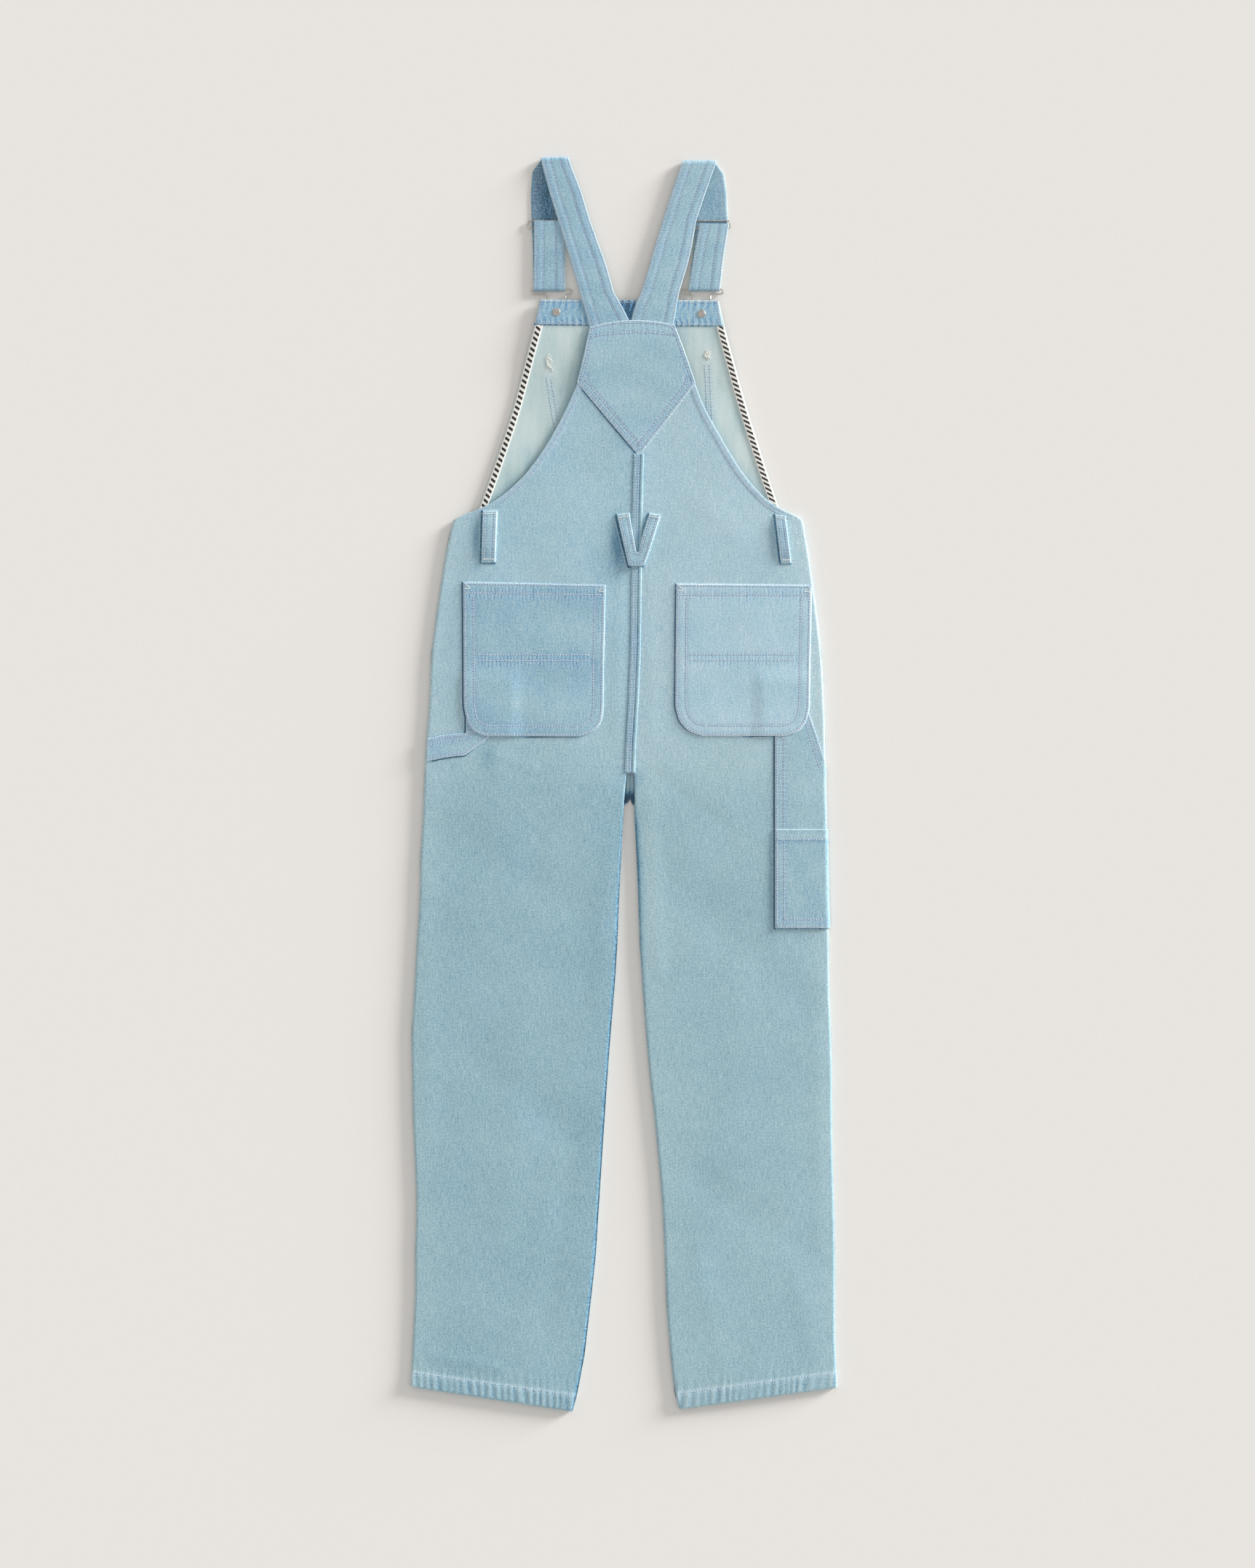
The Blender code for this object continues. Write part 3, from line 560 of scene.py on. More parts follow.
# Long soft folds across the back: start x and y, end x and y, half width, height
backFolds = (
    (33.0, -20.0, 44.0, -230.0, 9.0, 0.45),
    (-231.0, -690.0, -150.0, -706.0, 8.0, 0.5),
    (-210.0, -60.0, -60.0, -150.0, 26.0, -0.7),
    (60.0, -120.0, 205.0, -260.0, 28.0, -0.6),
    (-190.0, -330.0, -70.0, -420.0, 24.0, -0.6),
    (90.0, -480.0, 220.0, -560.0, 24.0, -0.7),
    (-15.0, -60.0, -30.0, -260.0, 13.0, 0.4),
    (-238.0, -120.0, -236.0, -420.0, 12.0, 0.35),
    (236.0, -240.0, 238.0, -560.0, 12.0, 0.35),
    (-120.0, -250.0, -150.0, -560.0, 22.0, 0.35),
    (140.0, -180.0, 128.0, -470.0, 24.0, 0.3),
    (-60.0, -430.0, -95.0, -660.0, 14.0, -0.3),
    (90.0, -560.0, 118.0, -700.0, 14.0, 0.35),
    (205.0, -590.0, 232.0, -690.0, 12.0, 0.3),
    (-200.0, 262.0, -222.0, 150.0, 10.0, -0.35),
    (30.0, 250.0, 34.0, 60.0, 10.0, 0.35),
    (-4.0, 250.0, -8.0, 60.0, 8.0, 0.3),
    (-100.0, 300.0, -40.0, 350.0, 16.0, 0.3),
    (140.0, 300.0, 70.0, 360.0, 16.0, 0.3),
    (-20.0, 0.0, -90.0, -60.0, 9.0, 0.35),
    (40.0, 10.0, 120.0, -50.0, 9.0, -0.3),
    (-170.0, 40.0, -110.0, 20.0, 7.0, 0.25),
)


def foldRelief(folds, x, y):
    height = np.zeros(np.shape(x))
    for startX, startY, endX, endY, halfWidth, rise in folds:
        distance, _ = nearestOn(((startX, startY), (endX, endY)), x, y)
        height += rise * bell(distance, halfWidth)
    return height


def railAt(column, y):
    return np.interp(y, sectionTable[:, column + 1], sectionTable[:, column])


def backHeight(x, y):
    leftHalf = x < (railAt(2, y) + railAt(4, y)) / 2
    outer = np.where(leftHalf, railAt(0, y), railAt(6, y))
    inner = np.where(leftHalf, railAt(2, y), railAt(4, y))
    offset = (x - (outer + inner) / 2) / ((outer - inner) / 2)
    crown = shape["crown"] * np.maximum(0.0, 1 - offset**2) * (1 - smooth(y, 260.0, 400.0))
    rise = shape["yokeRise"] * smooth(y, 430.0, 545.0)
    quiet = 1 - smooth(y, 480.0, 545.0)
    soft = 0.10 * softNoise(x, y, 95.0, 3) + 0.05 * softNoise(x, y, 34.0, 8)
    return shape["legHeight"] + rise + crown + (0.85 * foldRelief(backFolds, x, y) + soft) * quiet


def bibHeight(x, y):
    rise = shape["bibRise"] * smooth(y, 470.0, 548.0)
    soft = 0.12 * softNoise(x, y, 60.0, 21) * (1 - smooth(y, 520.0, 550.0))
    return shape["bibHeight"] + rise + soft + foldRelief(bibFolds, x, y)


bibFolds = (
    (-92.0, 500.0, -84.0, 400.0, 7.0, 0.3),
    (102.0, 505.0, 108.0, 400.0, 7.0, 0.3),
    (-150.0, 400.0, -118.0, 470.0, 8.0, -0.25),
    (150.0, 410.0, 128.0, 470.0, 8.0, -0.25),
)


def onSurface(line, height, lift=0.0):
    line = np.asarray(line, float)
    return np.column_stack([line, height(line[:, 0], line[:, 1]) + lift])


# How far from a flat cloth's border its first rows lie, close together where the edge is rounded
clothEdge = (0.0, 0.35, 0.9, 1.7, 2.6, 4.2)


def edgeDrop(distance, wall):
    # how far the top of a rounded cloth edge lies below the flat
    radius = wall * 0.62
    inside = np.clip(1 - distance / radius, 0.0, 1.0)
    return radius * (1 - np.sqrt(1 - inside**2 * 0.96))


def puckers(along, away, pitch, slant, seed):
    # small cross ridges where a seam has shrunk, from -1 to 1, uneven along the seam
    drift = 0.5 * softNoise(along, away * 0.0, pitch * 4, seed)
    strength = 0.65 + 0.4 * softNoise(along, away * 0.0, pitch * 6, seed + 1)
    return np.sin((along / pitch + away * slant / pitch + drift) * 2 * math.pi) * strength


# Panels: the two halves of the back and of the front, turning toward each other at the sides
panelLook = {
    "spacing": 2.7,
    "frontSpacing": 5.0,
    "curlAngles": (-6.0, 6.0, 18.0, 31.0, 45.0, 60.0, 76.0, 90.0),
    "flatReach": (4.0, 0.5, 0.0, 0.05, 0.35, 0.9, 1.9, 3.0),
    "flatDrop": (1.3, 1.25, 0.85, 0.45, 0.15, 0.03, 0.0, 0.0),
    "ropePitch": 9.4,
    "ropeHeight": 0.42,
    "hemDepth": 18.5,
    "hemFade": (17.6, 19.6),
    "hemStitch": 18.6,
    "armholeHem": 7.5,
    "inseamStep": 1.5,
    "frontSeamX": 7.9,
    "frontCrotchY": -22.0,
}
# A panel's part of the table: outer x and y, inner x and y, and how far both edges turn down
panelColumns = {"left": [0, 1, 2, 3, 8, 9], "right": [6, 7, 4, 5, 8, 9]}


def panelGrid(rows, spacing):
    # rows run from the outer edge to the inner one, and say how far each of them turns down
    look = panelLook
    start, end = rows[:, 0:2], rows[:, 2:4]
    width = np.linalg.norm(end - start, axis=1)[:, None]
    radius = shape["legHeight"] / 2 - shape["sideGap"] / 2
    angles = np.radians(look["curlAngles"])
    sides = []
    for curl in (rows[:, 4:5], rows[:, 5:6]):
        reach = radius * (1 - np.cos(angles)) * curl + np.array(look["flatReach"]) * (1 - curl)
        drop = radius * (1 - np.sin(angles)) * curl + np.array(look["flatDrop"]) * (1 - curl)
        sides.append((reach, drop))
    extra = np.array((4.6, 6.6, 9.0, 12.0))
    count = int(round((width.max() - 24) / spacing))
    outer, inner = sides[0][0], sides[1][0]
    first = np.concatenate([outer, np.broadcast_to(extra, (len(rows), len(extra)))], axis=1)
    last = np.concatenate([inner, np.broadcast_to(extra, (len(rows), len(extra)))], axis=1)
    middle = 12.0 + (width - 24.0) * np.linspace(0.0, 1.0, count + 1)[1:-1]
    across = np.concatenate([first, middle, width - last[:, ::-1]], axis=1)
    still = np.zeros((len(rows), len(extra)))
    drops = np.concatenate(
        [sides[0][1], still, np.zeros_like(middle), still, sides[1][1][:, ::-1]], axis=1
    )
    shares = (across / width)[:, :, None]
    places = start[:, None] + (end - start)[:, None] * shares
    return places[:, :, 0], places[:, :, 1], across, width, drops


# Painted shadows beside loops, pockets and other sewn-on pieces: x, y, reach across, reach up, how dark
paintedShadows = (
    (-6.0, 290.0, 9.0, 30.0, 0.34),
    (17.0, 299.0, 6.5, 15.0, 0.65),
    (-177.0, 298.0, 6.0, 30.0, 0.24),
    (182.0, 296.0, 5.0, 28.0, 0.20),
    (-192.0, 56.0, 18.0, 8.0, 0.16),
    (-163.0, 33.0, 10.0, 22.0, 0.14),
    (14.0, 8.0, 10.0, 14.0, 0.18),
    (179.0, -120.0, 6.0, 60.0, 0.12),
    (8.0, 415.0, 22.0, 10.0, 0.12),
    (-24.0, 262.0, 18.0, 24.0, 0.06),
)
# How the two halves differ: the pale line of the outer edge, and the tone beside the inseam
backTones = {"left": {"outerEdge": 0.14, "inner": -0.04}, "right": {"outerEdge": 0.03, "inner": 0.05}}


def addTurnUnder(rows, farRow, reaches, grids):
    # ahead of the first row, rows behind the hem that run back up the leg by these reaches
    lean = np.stack([rows[farRow, 0:2] - rows[0, 0:2], rows[farRow, 2:4] - rows[0, 2:4]]).mean(axis=0)
    lean /= np.linalg.norm(lean)
    x, y, *others = grids
    x = np.concatenate([x[:1] + reach * lean[0] for reach in reaches] + [x])
    y = np.concatenate([y[:1] + reach * lean[1] for reach in reaches] + [y])
    return [x, y] + [np.concatenate([values[:1]] * len(reaches) + [values]) for values in others]


def panelCloth(face, side, grids, seam=()):
    x, y, z, wash, blue = grids
    attributes = {
        "weave": np.stack([x, y, np.zeros_like(x)], axis=2).reshape(-1, 3) * mm,
        "wash": wash.ravel(),
        "blue": np.clip(blue, 0, 1).ravel(),
    }
    if seam:
        attributes["seam"] = np.stack(seam, axis=2).reshape(-1, 3)
    points = np.stack([x, y, z], axis=2).reshape(-1, 3)
    faces = gridFaces(*x.shape, flip=(face == "back") == (side == "right"))
    item = meshObject(face + "_" + side + "_cloth", points, faces, [denim], attributes)
    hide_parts(face + "_panel_" + side)
    return item


def backStitches(side, table):
    # one row across at the hem, and one up beside the armhole's edge; rows here are a millimetre apart
    rows, _ = railRows(table, 1.0, (0.0,), (waistSection,), 22)
    row = rows[int(round(panelLook["hemStitch"]))]
    hemLine = polyline([row[0:2] + (row[2:4] - row[0:2]) * s for s in (0.014, 0.986)])
    armholeLine = offsetLine(rows[rows[:, 4] < 0.55, 0:2], 6.4 if side == "right" else -6.4)
    lines = [onSurface(hemLine, backHeight, 0.15), onSurface(armholeLine, backHeight, 0.2)]
    return sewnStitches("stitches_back_" + side, lines)


def backFadeAndShade(side, x, y, away, across, width, armhole, rope, inHem):
    # worn pale along the hem and the outer edge, toned beside the inseam, with painted shade at the legs'
    # inner edges and the right leg's lower outer edge, a painted highlight near the right leg's inner edge,
    # and painted shadows beside the sewn-on pieces
    tone = backTones[side]
    wash = 0.20 * rope * inHem * (0.8 + 0.4 * softNoise(x, y, 40.0, 61)) + 0.14 * bell(away - 20.5, 2.2)
    wash += 0.30 * bell(away, 1.1) - 0.04 * inHem
    pale = tone["outerEdge"] + 0.1 * armhole
    wash += 0.07 * bell(across, 26.0) * (1 - armhole) + pale * bell(across, 2.2)
    fromInner = width - across
    wash += tone["inner"] * (bell(fromInner, 40.0) * (1 - smooth(y, -40.0, 60.0)))
    wash += 0.09 * smooth(y, -40.0, 60.0) - 0.05 + 0.03 * softNoise(x, y, 120.0, 5)
    wash -= 0.05 * armhole * bell(across - 4.0, 4.0)
    leg = 1 - smooth(y, -60.0, -10.0)
    if side == "left":
        # painted shade on the left leg's inner edge, where it turns toward the light
        wash -= 0.34 * bell(fromInner, 2.2) * leg
    else:
        wash += 0.04 + 0.04 * smooth(y, -40.0, 60.0)
        # painted highlight a little in from the right leg's inner edge
        wash += 0.08 * bell(fromInner - 16.0, 7.0) * leg * smooth(y, -330.0, -120.0)
        # painted shade where the right leg's inner edge curves under
        wash -= 0.42 * bell(fromInner, 5.0) * leg * smooth(y, -300.0, -80.0)
        # painted shade on the right leg's lower outer edge, where it turns toward the light
        wash -= 0.18 * bell(across, 3.0) * (1 - smooth(y, -420.0, -240.0))
    # painted shadows beside the sewn-on pieces
    for placeX, placeY, reachX, reachY, dark in paintedShadows:
        wash -= dark * bell(x - placeX, reachX) * bell(y - placeY, reachY)
    return wash


def makeBackPanel(side):
    look = panelLook
    table = sectionTable[:, panelColumns[side]]
    if side == "left":  # below the knee the front shows past the inner edge of this leg
        table[:, 2] -= look["inseamStep"] * smooth(-sectionTable[:, 3], 60.0, 200.0) * table[:, 5]
    rows, along = railRows(table, look["spacing"], (0.0, 1.2, 2.6, 4.6, 7.0), (waistSection,), 22)
    x, y, across, width, drops = panelGrid(rows, look["spacing"])
    z = backHeight(x, y) - drops
    if side == "left":  # the seam itself fills the step between the back's edge and the front's
        step = np.clip(look["inseamStep"] * smooth(-rows[:, 3], 60.0, 200.0) * rows[:, 5], 0.0, 2.0)
        x[:, -1] = x[:, -2] + 0.96 * step + 0.06
        z[:, -1] = z[:, -2] - 0.1
    away = np.broadcast_to(along[:, None], x.shape)
    hem = 1 - smooth(away, *look["hemFade"])
    rope = puckers(across, away, look["ropePitch"], 0.12, 40 if side == "left" else 44)
    inHem = hem * smooth(away, 0.0, 3.0)
    z += 0.7 * hem + look["ropeHeight"] * rope * inHem
    z -= 1.0 * bell(away, 0.9)
    z -= 0.3 * bell(away - look["hemStitch"], 1.6)
    above = away - look["hemDepth"]
    z += 0.22 * rope * smooth(above, 0.0, 4.0) * (1 - smooth(above, 4.0, 26.0))
    armhole = 1 - smooth(rows[:, 4], 0.1, 0.9)[:, None]
    onHem = armhole * (1 - smooth(across, look["armholeHem"] - 0.6, look["armholeHem"] + 1.0))
    z += 0.35 * onHem
    small = puckers(away, across, 7.0, 0.3, 52)
    z += 0.12 * small * armhole * bell(across - 6.0, 8.0)
    phase = (away + 0.3 * across) / 5.0
    strength = 0.08 * armhole * bell(across - 6.0, 3.0)
    wash = backFadeAndShade(side, x, y, away, across, width, armhole, rope, inHem)
    centre = [(row[2], row[3]) for row in sections[crotchSection:]]
    seamAway, seamAlong = nearestOn(centre, x, y)
    ripple = puckers(seamAlong, seamAway, 8.0, 0.2, 71)
    z += 0.12 * ripple * bell(seamAway - 8.0, 7.0)
    wash += 0.05 * ripple * bell(seamAway - 8.0, 7.0)
    hemSeam = 0.07 * bell(away - 18.0, 3.0)
    phase = np.where(hemSeam > strength, across / 4.6, phase)
    strength = np.maximum(strength, hemSeam)
    blue = -0.4 * inHem + 0.35 * armhole * bell(across, 16.0) + 0.4 * bell(seamAway, 14.0)
    blue += 0.5 * smooth(y, -60.0, 200.0) + 0.2 * softNoise(x, y, 90.0, 9)
    cast = armhole * (0.5 * bell(across - 6.6, 1.4) + 0.15 * bell(across - 3.0, 4.0))
    cast = cast + 0.2 * bell(away - look["hemStitch"], 1.8) + 0.06 * inHem
    grids = addTurnUnder(rows, 12, (12.0, 0.3, 0.0), (x, y, z, wash, blue, phase, strength, cast))
    z, strength = grids[2], grids[6]
    z[:3] = np.maximum(z[:3] - np.array((1.1, 1.2, 0.6))[:, None], 2.9)
    strength[:3] = 0.0
    return panelCloth("back", side, grids[:5], grids[5:]), backStitches(side, table)


def makeFrontPanel(side):
    look = panelLook
    table = sectionTable[: waistSection + 3, panelColumns[side]]
    seamX = look["frontSeamX"] + (-0.15 if side == "left" else 0.15)
    table[crotchSection:, 2] = seamX
    table[crotchSection:, 5] = 0.0
    below, above = table[crotchSection - 1], table[crotchSection]
    added = []
    for y in (look["frontCrotchY"] - 2.0, look["frontCrotchY"]):
        row = below + (above - below) * (y - below[1]) / (above[1] - below[1])
        row[2], row[3], row[5] = below[2], y, below[5]
        added.append(row)
    added[1][2], added[1][5] = seamX, 0.0
    table = np.insert(table, crotchSection, added, axis=0)
    rows, along = railRows(table, look["frontSpacing"], (0.0, 1.2, 2.6, 4.6, 7.0), (waistSection + 2,), 2)
    x, y, across, width, drops = panelGrid(rows, look["frontSpacing"])
    away = np.broadcast_to(along[:, None], x.shape)
    soft = 0.25 * (1 + softNoise(x, y, 110.0, 31))
    z = drops + soft * smooth(across, 4.0, 20.0) * smooth(width - across, 4.0, 20.0)
    hem = 1 - smooth(away, *look["hemFade"])
    rope = puckers(across, away, look["ropePitch"], 0.35, 140)
    z = z + 0.5 * (1 - hem) * smooth(along[-1] - away, 0.0, 6.0) + 0.3 * (rope - 1) * hem * 0.5
    z = np.maximum(z, 0.02)
    wash = 0.14 * rope * hem + 0.09 * bell(across, 26.0) + 0.05 * softNoise(x, y, 120.0, 35)
    # painted shade on the front's crotch, seen in the gap between the legs
    wash -= 0.9 * bell(x - look["frontSeamX"], 9.0) * bell(y + 19.0, 10.0)
    blue = 0.5 * hem + 0.35 * smooth(y, -20.0, 200.0) + 0.15
    grids = addTurnUnder(rows, 6, (12.0, 0.3), (x, y, z, wash, blue))
    z = grids[2]
    z[0], z[1] = np.minimum(z[0] + 1.1, 2.6), np.minimum(z[1] + 1.2, 2.7)
    return (panelCloth("front", side, grids),)


# The pieces sewn on
def addPuckers(state, line, x, y, look, seed):
    # keeps the strongest seam near each place: how far along it, its strength, and its thread's cast
    far, place = nearestOn(line, x, y)
    band = bell(far - look.get("middle", 0.0), look["reach"])
    uneven = 0.75 + 0.25 * softNoise(place, far * 0.0, 60.0, seed)
    strength = look["wash"] * band * uneven
    stronger = strength > state[1]
    state[0] = np.where(stronger, (place + far * look.get("slant", 0.2)) / look["pitch"], state[0])
    state[1] = np.where(stronger, strength, state[1])
    state[2] = np.maximum(state[2], look.get("cast", 0.42) * (bell(far, 1.4) + 0.2 * band))
    return far, place, band


def sewnPatch(
    node, table, look, height, lift, material=None, slot="denim", extraLift=None, flip=False, name=None
):
    # a ruled piece of cloth that lies on a surface, with stitched and puckered borders
    name = name or node + "_cloth"
    wall = look.get("wall", shape["wall"])
    rows, along = railRows(
        table, look["spacing"], look.get("ends", clothEdge), look.get("corners", ()), look.get("rounding", 6)
    )
    x, y, across, width = acrossRows(rows, look["spacing"], look.get("borders", clothEdge))
    down = np.broadcast_to(along[:, None], x.shape)
    if "bow" in look:
        y = y + look["bow"] * (1 - (2 * across / width - 1) ** 2) * smooth(down / along[-1], 0.8, 1.0)
    rim = np.append(rimOf(*x.shape), 0)
    outline = polyline(np.column_stack([x.ravel()[rim], y.ravel()[rim]]), 3.0)
    away, _ = nearestOn(outline, x, y)
    relief = -edgeDrop(away, wall)
    wash = look.get("edgeWash", 0.28) * bell(away, 1.2) + look.get("wash", 0.0)
    wash = wash + 0.05 * softNoise(x, y, 60.0, look["seed"])
    blue = look.get("blue", 0.4) + 0.15 * softNoise(x, y, 50.0, look["seed"] + 1)
    if "profile" in look:
        raised, tone = look["profile"](across, width)
        relief, wash = relief + raised, wash + tone
    if "shade" in look:
        wash = wash - look["shade"](x, y)
    state = [np.zeros(x.shape)] * 3
    lines = []
    for seam in look.get("seams", ()):
        line = seam["line"](rows, along)
        far, place, band = addPuckers(state, line, x, y, seam, look["seed"] + 3)
        relief = relief + seam["height"] * puckers(place, far, 7.5, 0.2, look["seed"] + 3) * band
        relief = relief - seam.get("groove", 0.2) * bell(far, 1.2)
        wash = wash - seam.get("dark", 0.05) * band
        blue = blue + seam.get("blue", 0.25) * band
        lines.append(line)
    z = height(x, y) + lift + relief
    if extraLift is not None:
        z = z + extraLift(x, y)
    fall = wall * 0.9
    edge = ((0.0, fall * 0.35), (0.5, fall))
    edgeShadow = look.get("edgeShadow")
    # a painted shadow takes the place of the border's lower step
    if edgeShadow:
        edge = ((0.0, fall * 0.35),)
        edgeShadow = dict(edgeShadow, floor=height)
    sign = -1.0 if flip else 1.0
    if flip:
        z = height(x, y) - (z - height(x, y)) + 2 * lift
    weave = look["weave"](x, y, across, down, width) if "weave" in look else None
    cloths = [material or denim] + ([denim] if "outer" in look else [])
    tones = wash, np.clip(blue, 0, 1), weave, flip, np.stack(state, axis=2), edgeShadow, look.get("outer")
    item = clothPatch(name, x, y, z, cloths, slot, edge, *tones)
    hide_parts(node)
    if not lines:
        return (item,)
    placed = []
    for line in lines:
        line = polyline(line, 1.5)
        top = height(line[:, 0], line[:, 1]) + lift
        if extraLift is not None:
            top = top + extraLift(line[:, 0], line[:, 1])
        placed.append(np.column_stack([line, top - 0.12 * sign]))
    return item, sewnStitches("stitches_" + name, placed, sign)


def outlineU(distance, share=1.0, short=0):
    # inside the left, bottom and right edges of a piece, up to a share of its rows less a few
    def line(rows, along):
        last = int(len(rows) * share) - short
        return offsetLine(np.vstack([rows[last - 1 :: -1, 0:2], rows[:last, 2:4]]), distance, 4)

    return line


def lineAcross(distance, fromEdge=1.5, top=False, bow=0.0):
    # across a piece, at a distance from its first or last row
    def line(rows, along):
        place = along[-1] - distance if top else distance
        row = np.array([np.interp(place, along, column) for column in rows.T])
        share = fromEdge / math.dist(row[0:2], row[2:4])
        shares = np.linspace(share, 1 - share, 16)
        points = np.vstack([row[0:2] + (row[2:4] - row[0:2]) * s for s in shares])
        points[:, 1] += bow * (1 - (2 * shares - 1) ** 2)
        return points

    return line


def lineAlong(distance, first=0, last=None, share=0.0):
    # beside the left edge, or the right one where the distance is negative
    def line(rows, along):
        width = np.linalg.norm(rows[:, 2:4] - rows[:, 0:2], axis=1)[:, None]
        across = distance / width if distance > 0 else 1 + distance / width
        start = first + int(len(rows) * share)
        return (rows[:, 0:2] + (rows[:, 2:4] - rows[:, 0:2]) * across)[start:last]

    return line


def fixedLine(points):
    return lambda rows, along: points


def seamAt(line, pitch, height, reach, wash, **more):
    # a row of stitches and the puckers beside it: how far apart, how high, how wide and how pale
    return dict(more, line=line, pitch=pitch, height=height, reach=reach, wash=wash)


pocketBorders = (0.0, 0.35, 0.9, 1.6, 2.3, 3.2, 5.0, 7.2, 9.4, 11.4, 12.4, 13.4, 15.4, 18.0)
backPocketLook = {
    "spacing": 2.5,
    "borders": pocketBorders,
    "ends": pocketBorders,
    "seed": 101,
    "wash": 0.03,
    "blue": 0.42,
    # painted shadow beside the pocket's edges
    "edgeShadow": {"reach": (0.9, 1.7), "shade": (0.2, 0.8)},
    "seams": (
        seamAt(outlineU(2.2), 4.6, 0.08, 2.6, 0.08),
        seamAt(outlineU(12.4, short=12), 5.0, 0.10, 3.0, 0.08, dark=0.04),
        seamAt(lineAcross(12.6, 2.0, True), 4.3, 0.20, 4.2, 0.16, blue=0.3, middle=3.2, slant=0.0, dark=0.06),
        seamAt(lineAcross(2.0, 2.0, True), 4.3, 0.10, 2.6, 0.10, slant=0.0),
        # the lower edge of the doubling inside the pocket
        seamAt(lineAcross(98.3, 16.0), 4.4, 0.08, 2.2, 0.12, slant=0.0, cast=0.25),
        seamAt(lineAcross(91.2, 16.0), 4.4, 0.08, 3.2, 0.2, slant=0.0, middle=3.0, cast=0.25),
    ),
}
# A patch's rows run from its bottom to its top: left x and y, right x and y
backPocketLeftRows = (
    (-167.2, 58.0, -53.7, 57.2),
    (-180.0, 62.5, -37.0, 62.5),
    (-188.5, 73.0, -27.5, 73.0),
    (-192.7, 93.3, -24.6, 88.0),
    (-192.9, 120.0, -24.2, 120.0),
    (-193.0, 146.0, -24.0, 146.0),
    (-193.3, 190.0, -23.0, 190.0),
    (-193.5, 228.0, -22.3, 226.0),
    (-193.6, 243.8, -22.0, 240.2),
)
backPocketRightRows = (
    (95.0, 58.0, 195.4, 58.0),
    (78.5, 63.0, 211.5, 63.5),
    (67.0, 76.0, 220.5, 74.5),
    (62.5, 93.3, 224.2, 90.2),
    (62.8, 120.0, 224.6, 120.0),
    (63.0, 146.0, 225.0, 146.0),
    (63.3, 190.0, 226.0, 190.0),
    (63.8, 226.0, 226.5, 226.0),
    (63.9, 241.6, 226.6, 239.9),
)

yokeRows = (
    (16.6, 398.4, 20.4, 398.4),
    (-19.4, 440.8, 53.4, 440.3),
    (-56.2, 485.0, 87.0, 484.4),
    (-47.5, 520.0, 74.0, 522.0),
    (-40.8, 551.8, 62.0, 554.0),
)

bibRows = (
    (-177.0, 328.0, 189.5, 329.5),
    (-163.5, 365.0, 175.5, 371.0),
    (-152.2, 397.8, 162.8, 411.0),
    (-143.0, 425.0, 152.0, 445.0),
    (-134.2, 452.3, 141.7, 480.5),
    (-121.0, 503.0, 132.0, 516.0),
    (-114.0, 530.0, 126.5, 535.0),
    (-107.4, 554.4, 122.3, 552.6),
    (-101.2, 584.8, 115.0, 583.8),
)
bibPocketRows = ((-77.0, 365.0, 107.5, 368.0), (-83.6, 431.2, 104.7, 436.5), (-92.8, 504.2, 100.8, 509.0))
bibFacingRows = ((-106.8, 555.3, 119.4, 553.5), (-100.8, 584.8, 114.4, 583.8))
centreSeamRows = []
for row in sections[crotchSection:]:
    x, y = (row[2] + row[4]) / 2, min(max(row[3], 14.0), 399.5)
    centreSeamRows.append((x - 6.0, y, x + 6.0, y))


def pocketLift(cornerX):
    # the outer lower corner stands higher, over what is sewn on beneath it
    def lift(x, y):
        return 1.3 * (1 - smooth(np.abs(x - cornerX), 54.0, 74.0)) * (1 - smooth(y, 121.0, 145.0))

    return lift


made = {}
for side in ("left", "right"):
    made["back_" + side] = makeBackPanel(side)
    made["front_" + side] = makeFrontPanel(side)
print("panels made")

for side, table, corner, tone in (
    ("left", backPocketLeftRows, -193.0, {"wash": -0.04, "blue": 0.42}),
    ("right", backPocketRightRows, 225.0, {"wash": 0.12, "blue": 0.85}),
):
    look = dict(backPocketLook, **tone)
    pocket = sewnPatch("back_pocket_" + side, table, look, backHeight, 1.5, extraLift=pocketLift(corner))
    made["pocket_" + side] = pocket

yokeLook = {
    "spacing": 2.6,
    "borders": (0.0, 0.35, 0.9, 1.8, 3.0, 4.6, 6.4, 8.2, 9.4, 10.6, 12.5),
    "ends": (0.0, 0.35, 0.9, 1.8, 3.0, 4.6, 6.4, 8.2, 9.4, 10.6, 12.0, 13.4),
    "corners": (2,),
    "seed": 131,
    "wash": 0.04,
    "blue": 0.5,
    "bow": 7.0,
    # painted shadow below the yoke's lower edges
    "edgeShadow": {
        "reach": (1.0, 2.2),
        "shade": (0.12, 0.72),
        "mask": lambda x, y: 1 - smooth(y, 474.0, 486.0),
    },
    "seams": [
        seamAt(line, 5.0, 0.2, 3.4, 0.15, dark=0.06, blue=0.3, groove=0.3)
        for line in (
            outlineU(3.0, 0.62),
            outlineU(9.6, 0.62),
            lineAcross(3.0, 2.0, True, 7.0),
            lineAcross(13.0, 4.0, True, 5.0),
            lineAlong(4.0, share=0.56),
            lineAlong(-4.0, share=0.56),
        )
    ],
}
made["yoke"] = sewnPatch("yoke", yokeRows, yokeLook, backHeight, 0.9)


def bibShade(x, y):
    # painted shadow of the back's edges on the bib, with soft upright streaks
    left, _ = nearestOn([row[0:2] for row in sections[24:]] + [(-47.5, 520.0), (-40.8, 552.0)], x, y)
    right, _ = nearestOn([row[6:8] for row in sections[24:]] + [(74.0, 522.0), (62.0, 554.0)], x, y)
    streaks = softNoise(x, y * 0.18, 16.0, 157) * (1 - smooth(np.minimum(left, right), 10.0, 90.0))
    return 0.30 * bell(left, 7.0) + 0.10 * bell(left, 22.0) + 0.14 * bell(right, 6.0) + 0.13 * streaks


